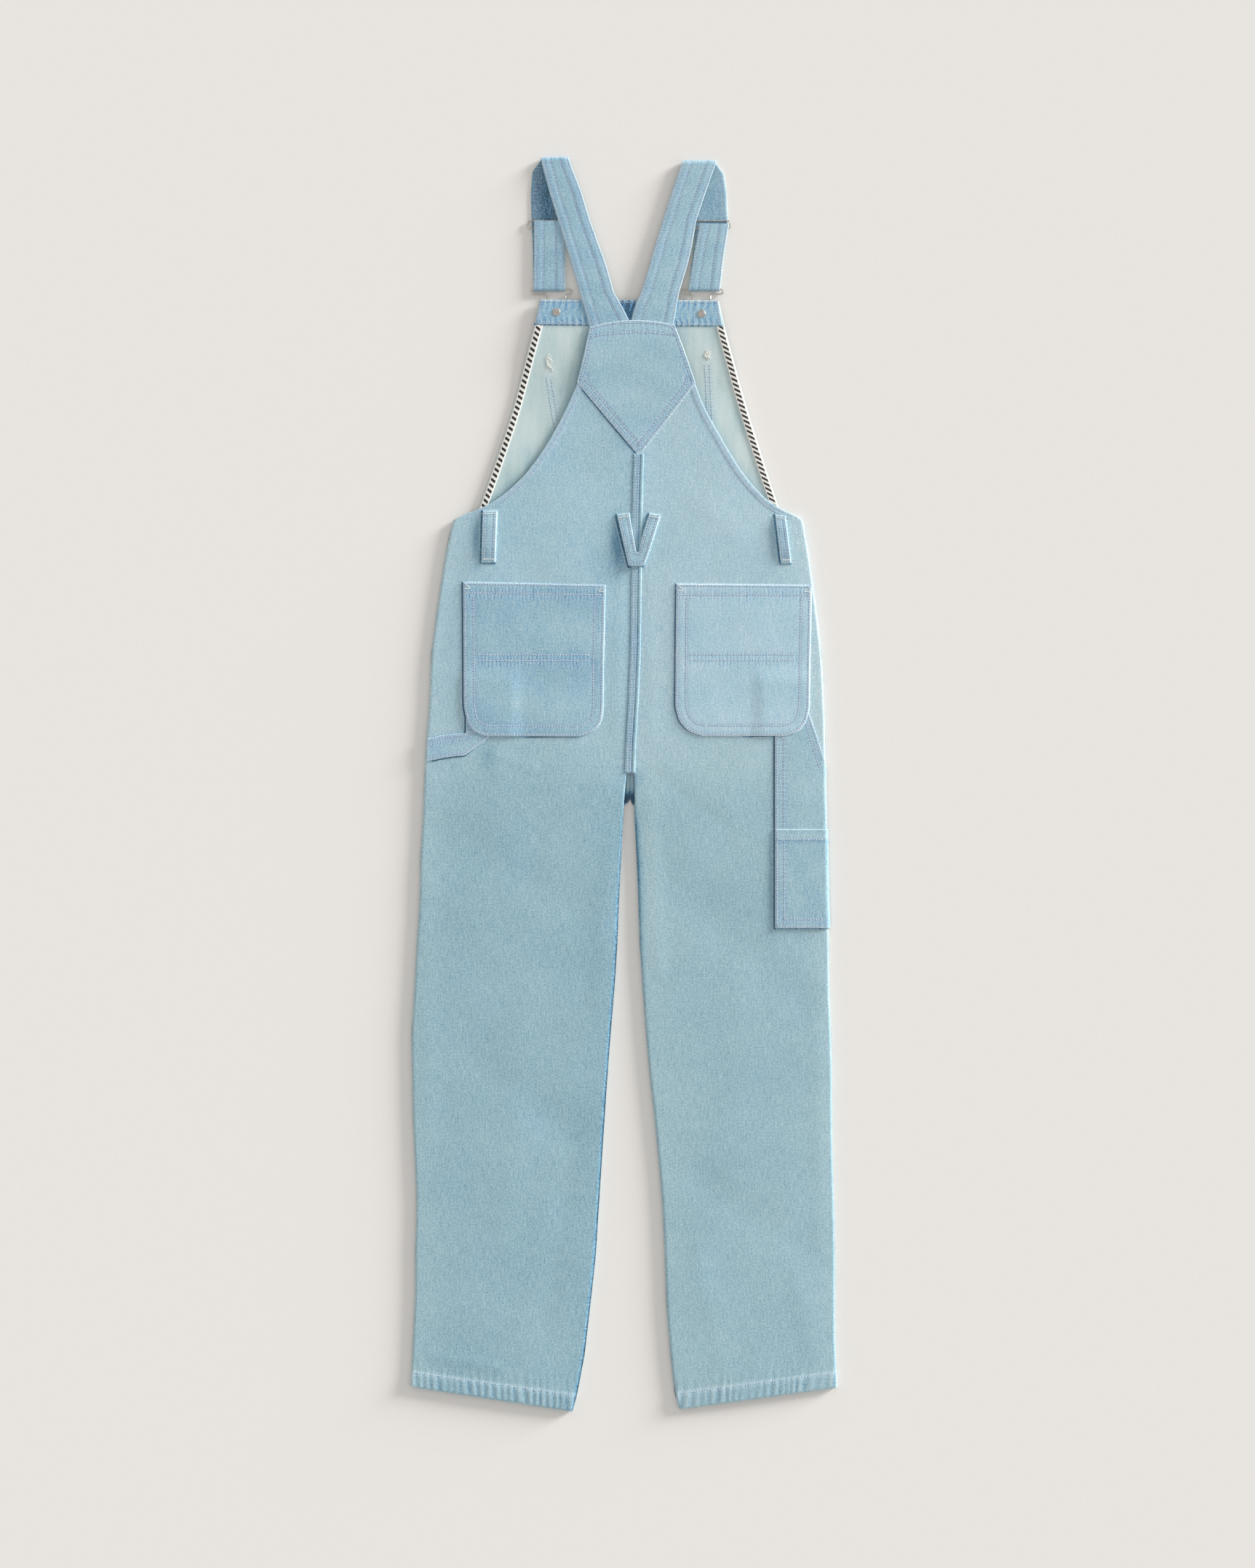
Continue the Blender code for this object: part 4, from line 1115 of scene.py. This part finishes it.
# The sides of the pocket on the bib's outer face show on its inner one as double rows of stitches
bibSeamLines = (
    ((-93.2, 492.0), (-84.0, 431.0), (-81.0, 408.0)),
    ((-87.6, 490.0), (-78.6, 431.0), (-75.6, 408.0)),
    ((98.0, 507.0), (102.0, 436.5), (104.5, 410.0)),
    ((103.6, 507.0), (107.4, 436.5), (109.6, 410.0)),
)
bibLook = {
    "spacing": 3.0,
    "seed": 151,
    "blue": 0.1,
    "edgeWash": 0.1,
    "rounding": 12,
    "outer": 1.15,
    "shade": bibShade,
    "seams": [
        seamAt(fixedLine(points), 5.0, 0.05, 3.2, 0.12, dark=0.03, blue=0.2, groove=0.25, cast=0.12)
        for points in bibSeamLines
    ],
}
made["bib"] = sewnPatch("bib", bibRows, bibLook, bibHeight, 0.0, denimInside, "denim_inside")


def threadTangle(name, centreX, centreY, length, seed):
    # loose ends of sewing thread, knotted where the pocket's corner is tacked
    random = np.random.RandomState(seed)
    lines = []
    for _ in range(5):
        turns = np.linspace(0.0, 1.0, 12)
        bend, width, start = random.uniform(0.6, 1.6), random.uniform(1.5, 4.5), random.uniform(0.0, 6.0)
        x = centreX + width * np.sin(turns * 2 * math.pi * bend + start)
        y = centreY + (turns - 0.5) * length * random.uniform(0.4, 1.0)
        lines.append(np.column_stack([x, y, bibHeight(x, y) + 0.25 + 0.3 * random.uniform(0, 1)]))
    return sewnStitches(name, lines, 1.0, tackThread, 2.6)


made["bib"] += (threadTangle("bar_tack_bib_left", -89.5, 509.0, 24.0, 5),)
made["bib"] += (threadTangle("bar_tack_bib_right", 101.5, 518.5, 13.0, 7),)
facingLook = {
    "spacing": 2.4,
    "seed": 161,
    "wash": -0.05,
    "blue": 0.75,
    # painted shadow between the straps and beside their outer edges
    "shade": lambda x, y: 0.5 * bell(x - 4.0, 13.0) + 0.12 * bell(np.abs(x - 7.0) - 46.0, 14.0),
    # painted shadow along the facing's lower edge
    "edgeShadow": {"reach": (0.7, 0.8), "shade": (0.3, 0.3), "mask": lambda x, y: 1 - smooth(y, 555.6, 557.5)},
    "seams": (
        seamAt(lineAcross(2.4), 7.2, 0.32, 8.0, 0.24, cast=0.15),
        seamAt(lineAcross(2.4, top=True), 7.4, 0.32, 9.0, 0.24, cast=0.15),
        seamAt(lineAlong(2.4), 6.0, 0.15, 4.0, 0.06),
        seamAt(lineAlong(-2.4), 6.0, 0.15, 4.0, 0.06),
    ),
}
made["facing"] = sewnPatch("bib_facing", bibFacingRows, facingLook, bibHeight, 1.3, slot="denim_dark")


def nearFloor(x, y):
    return np.full(np.shape(x), 0.15)


bibPocketLook = {"spacing": 4.0, "seed": 171, "seams": (seamAt(outlineU(2.4), 6.0, 0.08, 4.0, 0.06),)}
made["bib_pocket"] = sewnPatch("bib_pocket", bibPocketRows, bibPocketLook, nearFloor, 0.0, flip=True)


# Edge tape: strips over the bib's side edges
tapeWidth = 10.0
tapeInset = 1.0


def tapeTable(side):
    rows = []
    for row in bibRows[:-1]:
        width = math.dist(row[0:2], row[2:4])
        leftY, rightY = min(row[1], 554.7), min(row[3], 552.9)
        near, far = tapeInset / width, tapeWidth / width
        if side == "right":
            near, far = 1 - far, 1 - near
        step = np.array((row[2] - row[0], rightY - leftY))
        start = np.array((row[0], leftY))
        rows.append((*(start + step * near), *(start + step * far)))
    return rows


def tapeWeave(x, y, across, down, width):
    return np.stack([across - width / 2, down, np.zeros_like(x)], axis=2)


tapeStripLook = {
    "spacing": 2.2,
    "seed": 181,
    "wall": 1.0,
    "weave": tapeWeave,
    "borders": (0.0, 0.35, 0.9),
    "rounding": 12,
}
for side in ("left", "right"):
    table = tapeTable(side)
    strip = sewnPatch("bib_tape_" + side, table, tapeStripLook, bibHeight, 1.3, tapeCloth, "edge_tape")
    made["tape_" + side] = strip


def felledSeam(across, width):
    # a raised pale fold on the right, with a dark groove before it
    fromRight = width - across
    raised = 0.2 * bell(fromRight - 1.9, 1.5) - 0.35 * bell(fromRight - 4.1, 0.6)
    return raised, -0.36 * bell(fromRight - 4.1, 0.55)


centreSeamLook = {
    "spacing": 2.4,
    "seed": 191,
    "wall": 0.8,
    "blue": 0.35,
    "borders": (0.0, 0.35, 0.9, 1.8, 2.6, 3.2, 3.8, 4.4, 5.2),
    "profile": felledSeam,
    "edgeWash": 0.08,
    # painted shadow along both sides of the seam
    "edgeShadow": {"reach": (0.8, 0.5), "shade": (0.16, 0.16)},
    "seams": [seamAt(lineAlong(distance), 5.0, 0.1, 1.8, 0.06, cast=0.2) for distance in (2.2, 6.2)],
}
made["centre_seam"] = sewnPatch(
    "center_back_seam", centreSeamRows, centreSeamLook, backHeight, 1.1, name="seam_center_back_cloth"
)

hammerLoopRows = (
    (-190.1, 100.0, -161.0, 100.0),
    (-190.1, 63.0, -161.0, 60.0),
    (-190.6, 61.6, -161.5, 57.0),
    (-191.3, 61.3, -176.5, 45.7),
    (-192.2, 61.0, -191.8, 34.3),
    (-203.3, 61.0, -205.0, 33.4),
    (-222.0, 58.5, -222.0, 30.5),
    (-237.5, 54.6, -237.0, 27.3),
)
hammerLook = {
    "spacing": 2.2,
    "seed": 201,
    "wall": 1.0,
    "rounding": 1,
    "blue": 0.5,
    "edgeWash": 0.3,
    # painted shadow beside the hammer loop
    "edgeShadow": {"reach": (0.9, 1.6), "shade": (0.4, 0.9), "mask": lambda x, y: smooth(x, -235.0, -231.0)},
    "seams": [seamAt(lineAlong(distance, 6, -2), 4.6, 0.12, 3.0, 0.1) for distance in (3.0, 8.0, -3.0)],
}
made["hammer"] = sewnPatch("hammer_loop", hammerLoopRows, hammerLook, backHeight, 1.3, slot="denim_dark")

# Tool pockets turn round the side of the right leg with it
toolPocketLook = {
    "bottomY": -174.0,
    "hemStartX": 217.0,
    "spacing": 2.4,
    "angles": (0.0, 6.0, 14.0, 24.0, 36.0, 50.0, 66.0, 80.0, 90.0),
    "edgeShares": (0.09, 0.05, 0.028, 0.014, 0.006, 0.0),
}


def makeSidePocket(node, look):
    # outset is how far the pocket stands off the leg
    rearX, topY, outset, seed = (look[part] for part in ("rearX", "topY", "outset", "seed"))
    base = shape["legHeight"] / 2 - shape["sideGap"] / 2
    radius = base + outset
    angles = np.radians(look["angles"])
    reach = base - radius * np.cos(angles)
    drop = radius * (1 - np.sin(angles))
    crotchEdge = railAt(6, 0.0)
    count = int(round((crotchEdge - base - rearX) / look["spacing"]))
    shares = np.sort(1 - np.concatenate([np.linspace(1.0, 0.0, count + 1)[1:-2], look["edgeShares"]]))
    reach = np.concatenate([reach, np.full(len(shares), base)])
    share = np.concatenate([np.zeros(len(drop)), shares])
    drop = np.concatenate([drop, np.zeros(len(shares))])
    longest = topY - look["bottomY"]
    offsets = np.array((0.0, 0.35, 0.9, 1.8, 3.0, 5.0))
    middle = np.linspace(5.0, longest - 5.0, int(longest / look["spacing"]))[1:-1]
    places = np.concatenate([offsets, middle, longest - offsets[::-1]]) / longest
    flatX = crotchEdge - reach - (crotchEdge - reach - rearX) * share
    top = topY - look["hemSlope"] * np.maximum(flatX - look["hemStartX"], 0.0)
    y = look["bottomY"] + (top - look["bottomY"])[None, :] * places[:, None]
    edge = railAt(6, y) - reach
    x = edge - (edge - rearX) * share
    away = np.minimum(np.minimum(y - look["bottomY"], top[None, :] - y), x - rearX)
    z = backHeight(x, y) + outset - drop - edgeDrop(np.maximum(away, 0.0), 1.0)
    wash = 0.28 * bell(away, 1.2) + 0.05 * softNoise(x, y, 50.0, seed)
    below = top[None, :] - y
    wash = wash + look["hemWash"] * (bell(below - 8.5, 4.0) - 1.6 * bell(below - 14.5, 1.6))
    blue = 0.2 + 0.15 * softNoise(x, y, 40.0, seed + 1)
    lines = []
    state = [np.zeros(x.shape)] * 3
    for line, pitch, height, reachAway, ripple in look["seams"]:
        line = np.asarray(line, float)
        seamLook = {"pitch": pitch, "reach": reachAway, "wash": ripple}
        far, place, band = addPuckers(state, line, x, y, seamLook, seed + 2)
        z += height * puckers(place, far, 7.5, 0.2, seed + 2) * band - 0.15 * bell(far, 1.2)
        wash = wash - 0.03 * band
        blue = blue + 0.25 * band
        flat = polyline(line, 1.5)
        lines.append(onSurface(flat, backHeight, outset - 0.1))
    onSide = railAt(6, y) - x < 6.0
    seam = np.stack([state[0], np.where(onSide, 0.0, state[1]), state[2]], axis=2)
    # painted shadow beside the pocket's edges, except along the leg's side
    edgeShadow = {
        "fall": outset - 0.5,
        "reach": (0.3, 2.7),
        "shade": (0.1, 0.95),
        "mask": lambda x, y: smooth(railAt(6, y) - x, 3.0, 5.0),
    }
    grids = (x, y, z, wash + look["wash"], np.clip(blue, 0, 1), seam)
    x, y, z, wash, blue, seam = (grid[:, ::-1] for grid in grids)
    edge = ((0.0, 0.25),)
    item = clothPatch(node + "_cloth", x, y, z, [denim], "denim", edge, wash, blue, seam=seam, edgeShadow=edgeShadow)
    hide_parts(node)
    return item, sewnStitches("stitches_" + node + "_cloth", lines)


# Each seam is a line, then its puckers' pitch, height, reach and tone
tallPocketLook = {
    "rearX": 183.0,
    "topY": 110.0,
    "hemSlope": 3.2,
    "outset": 1.3,
    "wash": 0.03,
    "hemWash": 0.0,
    "seed": 211,
    "seams": (
        (((185.2, -172.0), (185.2, 56.0)), 5.2, 0.12, 2.6, 0.07),
        (((193.5, -172.0), (193.5, 56.0)), 5.2, 0.12, 3.4, 0.15),
        (((222.5, 85.0), (240.8, 26.0)), 5.0, 0.12, 3.4, 0.14),
        (((216.0, 86.0), (237.0, 18.0)), 5.0, 0.12, 3.4, 0.12),
    ),
}
smallPocketLook = {
    "rearX": 183.4,
    "topY": -54.5,
    "hemSlope": 0.0,
    "outset": 2.6,
    "wash": -0.02,
    "hemWash": 0.12,
    "seed": 221,
    "seams": (
        (((185.6, -172.0), (185.6, -56.0)), 5.2, 0.12, 2.8, 0.08),
        (((194.0, -171.0), (194.0, -68.0)), 5.2, 0.12, 3.4, 0.15),
        (((184.5, -67.0), (241.5, -67.0)), 5.0, 0.14, 2.8, 0.10),
        (((184.5, -171.6), (241.5, -171.6)), 4.6, 0.14, 4.0, 0.15),
        (((194.0, -163.5), (241.5, -163.5)), 4.6, 0.12, 4.0, 0.16),
    ),
}
made["tool_pocket"] = makeSidePocket("tool_pocket", {**toolPocketLook, **tallPocketLook})
made["small_pocket"] = makeSidePocket("tool_pocket_small", {**toolPocketLook, **smallPocketLook})
print("pockets made")

# Belt loops: narrow folded strips that stand a little off the cloth between their sewn ends
loopLook = {
    "spacing": 1.8,
    "borders": (0.0, 0.35, 0.9, 1.8, 2.6, 3.6),
    "seed": 231,
    "wall": 1.5,
    "rounding": 1,
    "edgeWash": 0.3,
    # painted shadow beside the belt loops
    "edgeShadow": {"reach": (1.0, 2.3), "shade": (0.34, 0.46)},
    "seams": [
        seamAt(lineAlong(distance, 3, -3), 4.4, 0.1, 1.8, 0.12, dark=0.12, groove=0.3)
        for distance in (3.2, -3.2)
    ],
}


def archOf(lowY, highY, rise):
    def lift(x, y):
        share = np.clip((y - lowY) / (highY - lowY), 0.0, 1.0)
        return rise * smooth(np.minimum(share, 1 - share), 0.0, 0.3)

    return lift


for side, rows in (
    ("left", ((-171.6, 267.5, -154.9, 267.5), (-169.8, 330.0, -152.6, 330.0))),
    ("right", ((190.1, 266.6, 202.4, 266.6), (183.0, 325.0, 195.4, 324.0))),
):
    arch = archOf(rows[0][1], rows[1][1], 2.0)
    made["loop_" + side] = sewnPatch("belt_loop_" + side, rows, loopLook, backHeight, 1.8, extraLift=arch)
backLoopRows = (
    (-7.9, 325.0, 7.0, 327.5),
    (-1.0, 294.0, 11.2, 303.0),
    (6.2, 263.1, 15.6, 280.0),
    (25.1, 263.5, 18.2, 280.0),
    (35.2, 294.0, 23.6, 303.0),
    (44.9, 325.0, 31.2, 326.5),
)
made["loop_back"] = sewnPatch(
    "belt_loop_back",
    backLoopRows,
    # painted shadow beside the back loop, wider than at the side loops
    dict(loopLook, seed=241, edgeShadow={"reach": (1.0, 3.2), "shade": (0.3, 0.5)}),
    backHeight,
    1.8,
    extraLift=lambda x, y: 0.6 + 2.4 * (1 - smooth(y, 292.0, 325.0)),
)

# Bar tacks: short dense rows of white stitches. Each piece has their height and their starts and ends
barTacks = (
    ("loop_left", 2.1, ((-170.0, 271.4, -156.4, 271.4), (-168.2, 326.2, -154.2, 326.2))),
    ("loop_right", 2.1, ((191.2, 270.4, 201.0, 270.4), (184.4, 321.4, 194.6, 320.6))),
    ("loop_back", 2.7, ((-6.2, 321.4, 6.8, 323.4), (33.6, 322.6, 43.0, 321.4))),
    (
        "pocket_left",
        1.55,
        (
            (-192.2, 242.4, -184.5, 236.2),
            (-192.0, 235.8, -185.4, 235.8),
            (-23.4, 238.9, -31.2, 232.8),
            (-23.4, 232.4, -30.2, 232.4),
        ),
    ),
    (
        "pocket_right",
        1.55,
        (
            (65.3, 240.2, 73.2, 233.9),
            (65.4, 233.4, 72.2, 233.4),
            (225.2, 238.5, 217.4, 232.4),
            (225.0, 232.0, 218.2, 232.0),
        ),
    ),
)
for key, lift, tacks in barTacks:
    lines = [onSurface(polyline((tack[0:2], tack[2:4]), 1.0), backHeight, lift) for tack in tacks]
    made[key] += (sewnStitches("bar_tack_" + key, lines, 1.0, tackThread, 1.5),)

# Straps: folded strips, from the yoke over the fold, down through the buckle and up behind.
# Their rows, in that order, are left x and y, right x and y, and the height
strapLook = {
    "wall": 1.5,
    "spacing": 2.5,
    "foldRadius": 3.15,
    "endRadius": 2.35,
    "stitchRows": (2.2, 11.5),
    # from the edge inward: how far in, and how high above the face
    "edge": (
        (0.0, -0.75),
        (0.08, -0.42),
        (0.4, -0.12),
        (1.0, 0.0),
        (1.6, 0.0),
        (2.2, -0.12),
        (3.0, 0.02),
        (6.0, 0.22),
        (9.2, 0.18),
        (10.6, 0.06),
        (11.5, -0.24),
        (12.4, -0.04),
        (13.8, 0.05),
    ),
    "wash": {"left": -0.05, "right": 0.0},
    "underShade": {"left": 0.36, "right": 0.16},
    "underBlue": 0.3,
    "blue": 0.42,
    "leftBack": (
        (-38.6, 545.0, 9.0, 550.0, 8.1),
        (-41.2, 552.9, 6.6, 560.2, 8.3),
        (-47.5, 575.0, -2.5, 578.0, 8.5),
        (-52.8, 593.1, -11.4, 593.1, 8.4),
        (-62.5, 627.4, -21.1, 627.4, 7.6),
        (-70.0, 652.0, -30.0, 652.0, 6.7),
        (-79.2, 681.1, -40.5, 681.1, 6.3),
        (-90.0, 716.0, -50.5, 714.0, 6.3),
        (-100.0, 754.5, -66.0, 754.8, 6.3),
    ),
    "leftFront": (
        (-110.0, 741.0, -70.5, 741.0),
        (-112.0, 715.0, -73.0, 715.0),
        (-111.0, 681.0, -72.5, 681.0),
        (-109.5, 640.0, -71.0, 640.0),
        (-109.0, 598.0, -70.4, 598.0),
    ),
    "leftEnd": ((-108.2, 640.0, -70.4, 640.0), (-108.2, 680.5, -70.4, 680.5)),
    "rightBack": (
        (7.2, 550.0, 58.6, 546.0, 8.1),
        (9.2, 560.2, 60.5, 555.0, 8.3),
        (14.0, 578.0, 64.0, 574.0, 8.5),
        (21.1, 593.1, 66.9, 593.1, 8.4),
        (31.7, 627.4, 77.4, 627.4, 7.6),
        (38.5, 652.0, 83.0, 652.0, 6.7),
        (47.5, 681.1, 88.0, 681.1, 6.3),
        (58.0, 714.0, 99.0, 714.0, 6.3),
        (70.5, 750.5, 112.0, 750.8, 6.3),
    ),
    "rightFront": (
        (82.0, 738.0, 121.0, 738.0),
        (85.0, 715.0, 124.5, 715.0),
        (88.0, 681.0, 126.0, 681.0),
        (83.5, 640.0, 121.0, 640.0),
        (78.3, 598.0, 116.5, 598.0),
    ),
    "rightEnd": ((85.0, 640.0, 121.5, 640.0), (92.2, 677.5, 127.6, 677.0)),
}


def turnRows(row, radius, forward):
    rows = []
    for angle in range(70, -91, -10):
        reach = radius * math.cos(math.radians(angle)) * forward
        height = radius + radius * math.sin(math.radians(angle)) * forward
        rows.append((row[0], row[1] + reach, row[2], row[3] + reach, height))
    return rows


def strapTable(look, side):
    back, front, end = look[side + "Back"], look[side + "Front"], look[side + "End"]
    table = list(back) + turnRows(back[-1], look["foldRadius"], 1)
    table += [(*row, 0.0) for row in front]
    table += turnRows(front[-1], look["endRadius"], -1)
    return table + [(*row, 2 * look["endRadius"]) for row in end]


def strapSection(look, width):
    # round the strap: how far each point is from its left edge and above its face, the outer face first
    def across(table, fromRight=False):
        whole = np.ones(len(width))
        return [(width - reach if fromRight else whole * reach, height) for reach, height in table]

    edge, wall = look["edge"], look["wall"]
    outer = across(edge)
    for share in np.linspace(0.0, 1.0, 6)[1:-1]:
        outer.append((edge[-1][0] + (width - 2 * edge[-1][0]) * share, 0.05))
    outer += across(edge[::-1], True)
    turned = ((0.1, -wall + 0.35), (0.6, -wall), (3.0, -wall))
    return outer, across(turned, True) + [(width / 2, -wall)] + across(turned[::-1])


def makeStrap(side):
    look = strapLook
    rows, along = railRows(strapTable(look, side), look["spacing"], (0.0, 0.4, 1.0, 2.0), (), 2)
    left = np.column_stack([rows[:, 0:2], rows[:, 4]])
    right = np.column_stack([rows[:, 2:4], rows[:, 4]])
    width = np.linalg.norm(right - left, axis=1)[:, None]
    across = (right - left) / width
    forward = np.gradient((left + right) / 2, axis=0)
    normal = np.cross(across, forward)
    normal /= np.linalg.norm(normal, axis=1)[:, None]
    outer, inner = strapSection(look, width[:, 0])
    points, weave, wash, blue, seam = [], [], [], [], []
    upward = smooth(normal[:, 2], -0.2, 0.6)
    for number, (reach, height) in enumerate(outer + inner):
        isOuter = number < len(outer)
        nearEdge = np.minimum(reach, width[:, 0] - reach)
        nearSeam = np.minimum(np.abs(nearEdge - 6.0) / 8.0, 1.0)
        wave = 0.5 * puckers(along, reach, 7.5, 0.15, 262 if side == "left" else 266)
        lift = height + (0.09 * wave * (1 - nearSeam) if isOuter else 0.0)
        points.append(left + across * reach[:, None] + normal * np.asarray(lift).reshape(-1, 1))
        weave.append(np.column_stack([reach, along, np.zeros(len(rows)) + (0 if isOuter else 90)]))
        # painted shade on the inner face of the strap's front run, which lies under the back run
        shade = 0.0 if isOuter else look["underShade"][side] * (1 - upward)
        tone = look["wash"][side] + 0.26 * bell(nearEdge, 0.8) + 0.05 * wave * (1 - nearSeam)
        tone = tone - 0.20 * bell(nearEdge - 11.5, 1.0) - 0.03 * bell(nearEdge - 6.0, 4.0)
        wash.append(tone + 0.04 * softNoise(reach, along, 40.0, 270) - shade)
        amount = 0.05 * bell(nearEdge - 2.2, 2.0) + 0.06 * bell(nearEdge - 11.5, 2.2)
        cast = 0.35 * bell(nearEdge - 2.2, 1.2) + 0.3 * bell(nearEdge - 11.5, 1.6)
        cast = cast + 0.08 * bell(nearEdge - 6.0, 4.0)
        seam.append(np.column_stack([along / 4.6, amount, cast]))
        bluer = 0.25 * bell(nearEdge - 5.0, 4.0) if isOuter else -look["underBlue"]
        blue.append(look["blue"] + bluer + 0.12 * softNoise(reach, along, 50.0, 275))
    points = np.stack(points, axis=1)
    rowsCount, columnsCount = points.shape[:2]
    ring = np.arange(columnsCount)
    following = np.roll(ring, -1)
    faces = []
    for row in range(rowsCount - 1):
        low, high = row * columnsCount, (row + 1) * columnsCount
        faces += np.column_stack([low + ring, low + following, high + following, high + ring]).tolist()
    faces.append(list(range(columnsCount - 1, -1, -1)))
    faces.append([(rowsCount - 1) * columnsCount + corner for corner in range(columnsCount)])
    attributes = {
        "weave": np.stack(weave, axis=1).reshape(-1, 3) * mm,
        "wash": np.stack(wash, axis=1).ravel(),
        "blue": np.clip(np.stack(blue, axis=1), 0, 1).ravel(),
        "seam": np.stack(seam, axis=1).reshape(-1, 3),
    }
    item = meshObject("strap_" + side + "_cloth", points.reshape(-1, 3), faces, [denim], attributes)
    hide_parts("strap_" + side)
    upLines, downLines = [], []
    for distance in look["stitchRows"]:
        for reach in (np.full(len(rows), distance), width[:, 0] - distance):
            line = left + across * reach[:, None] - normal * 0.15
            up = normal[:, 2] > 0.9
            firstTurn = int(np.argmax(~up))
            afterTurn = len(up) - int(np.argmax(~up[::-1]))
            upLines.append(line[3:firstTurn])
            upLines.append(line[afterTurn:-3])
            downLines.append(line[normal[:, 2] < -0.95])
    top = sewnStitches("stitches_strap_" + side, upLines)
    under = sewnStitches("stitches_strap_under_" + side, downLines, -1.0)
    return item, top, under


for side in ("left", "right"):
    made["strap_" + side] = makeStrap(side)
print("straps made")

# Wires and buttons keep the model's own shape, in nickel
for part in ("slider", "buckle", "bib_button", "button_tack"):
    for side in ("left", "right"):
        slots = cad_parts[part + "_" + side].data.materials
        slots.clear()
        slots.append(nickel)


# Floor, light and camera
studio = {
    "paper": ((0.2, "#E6E3DF"), (0.8, "#EAE7E3")),
    "floorHalf": 6.0,
    "floorZ": -0.0004,
    "sunFrom": (1.0, 0.6, 0.2),
    "sunStrength": 6.15,
    "sunSize": 19.0,
    "fillColour": "#FFFEFD",
    "fillStrength": 0.665,
    "eyeX": 0.00484,
    "eyeHeight": 4.0,
    "frameHeight": 1.897,
    "sensorHeight": 24.0,
}
half = studio["floorHalf"]
corners = [(x * half, y * half, studio["floorZ"]) for x, y in ((-1, -1), (1, -1), (1, 1), (-1, 1))]
floorMesh = bpy.data.meshes.new("floor")
floorMesh.from_pydata(corners, [], [(0, 1, 2, 3)])
floor = bpy.data.objects.new("floor", floorMesh)
bpy.context.scene.collection.objects.link(floor)
# Matte paper of a photo studio, with a faint grain
paper, tree, inputs = startMaterial("matte_background_paper", {"Roughness": 1.0, "Specular IOR Level": 0.1})
fibre = noise(tree, objectPlace(tree), 500.0, 2.0)
tree.links.new(rampColour(tree, studio["paper"], fibre), inputs["Base Color"])
floorMesh.materials.append(paper)

sunLight = bpy.data.lights.new("window_light", "SUN")
sunLight.energy = studio["sunStrength"]
sunLight.angle = math.radians(studio["sunSize"])
sun = bpy.data.objects.new("window_light", sunLight)
sun.rotation_euler = Vector(studio["sunFrom"]).to_track_quat("Z", "Y").to_euler()
bpy.context.scene.collection.objects.link(sun)
world = bpy.data.worlds.new("studio_fill")
world.use_nodes = True
fill = world.node_tree.nodes["Background"].inputs
fill["Color"].default_value = paint(studio["fillColour"])
fill["Strength"].default_value = studio["fillStrength"]
bpy.context.scene.world = world

camera = bpy.data.cameras.new("camera")
camera.sensor_fit = "VERTICAL"
camera.sensor_height = studio["sensorHeight"]
camera.lens = studio["sensorHeight"] * studio["eyeHeight"] / studio["frameHeight"]
eye = bpy.data.objects.new("camera", camera)
eye.location = (studio["eyeX"], 0.0, studio["eyeHeight"])
bpy.context.scene.collection.objects.link(eye)
bpy.context.scene.camera = eye
bpy.context.scene.view_settings.view_transform = "Standard"
print("stage set")
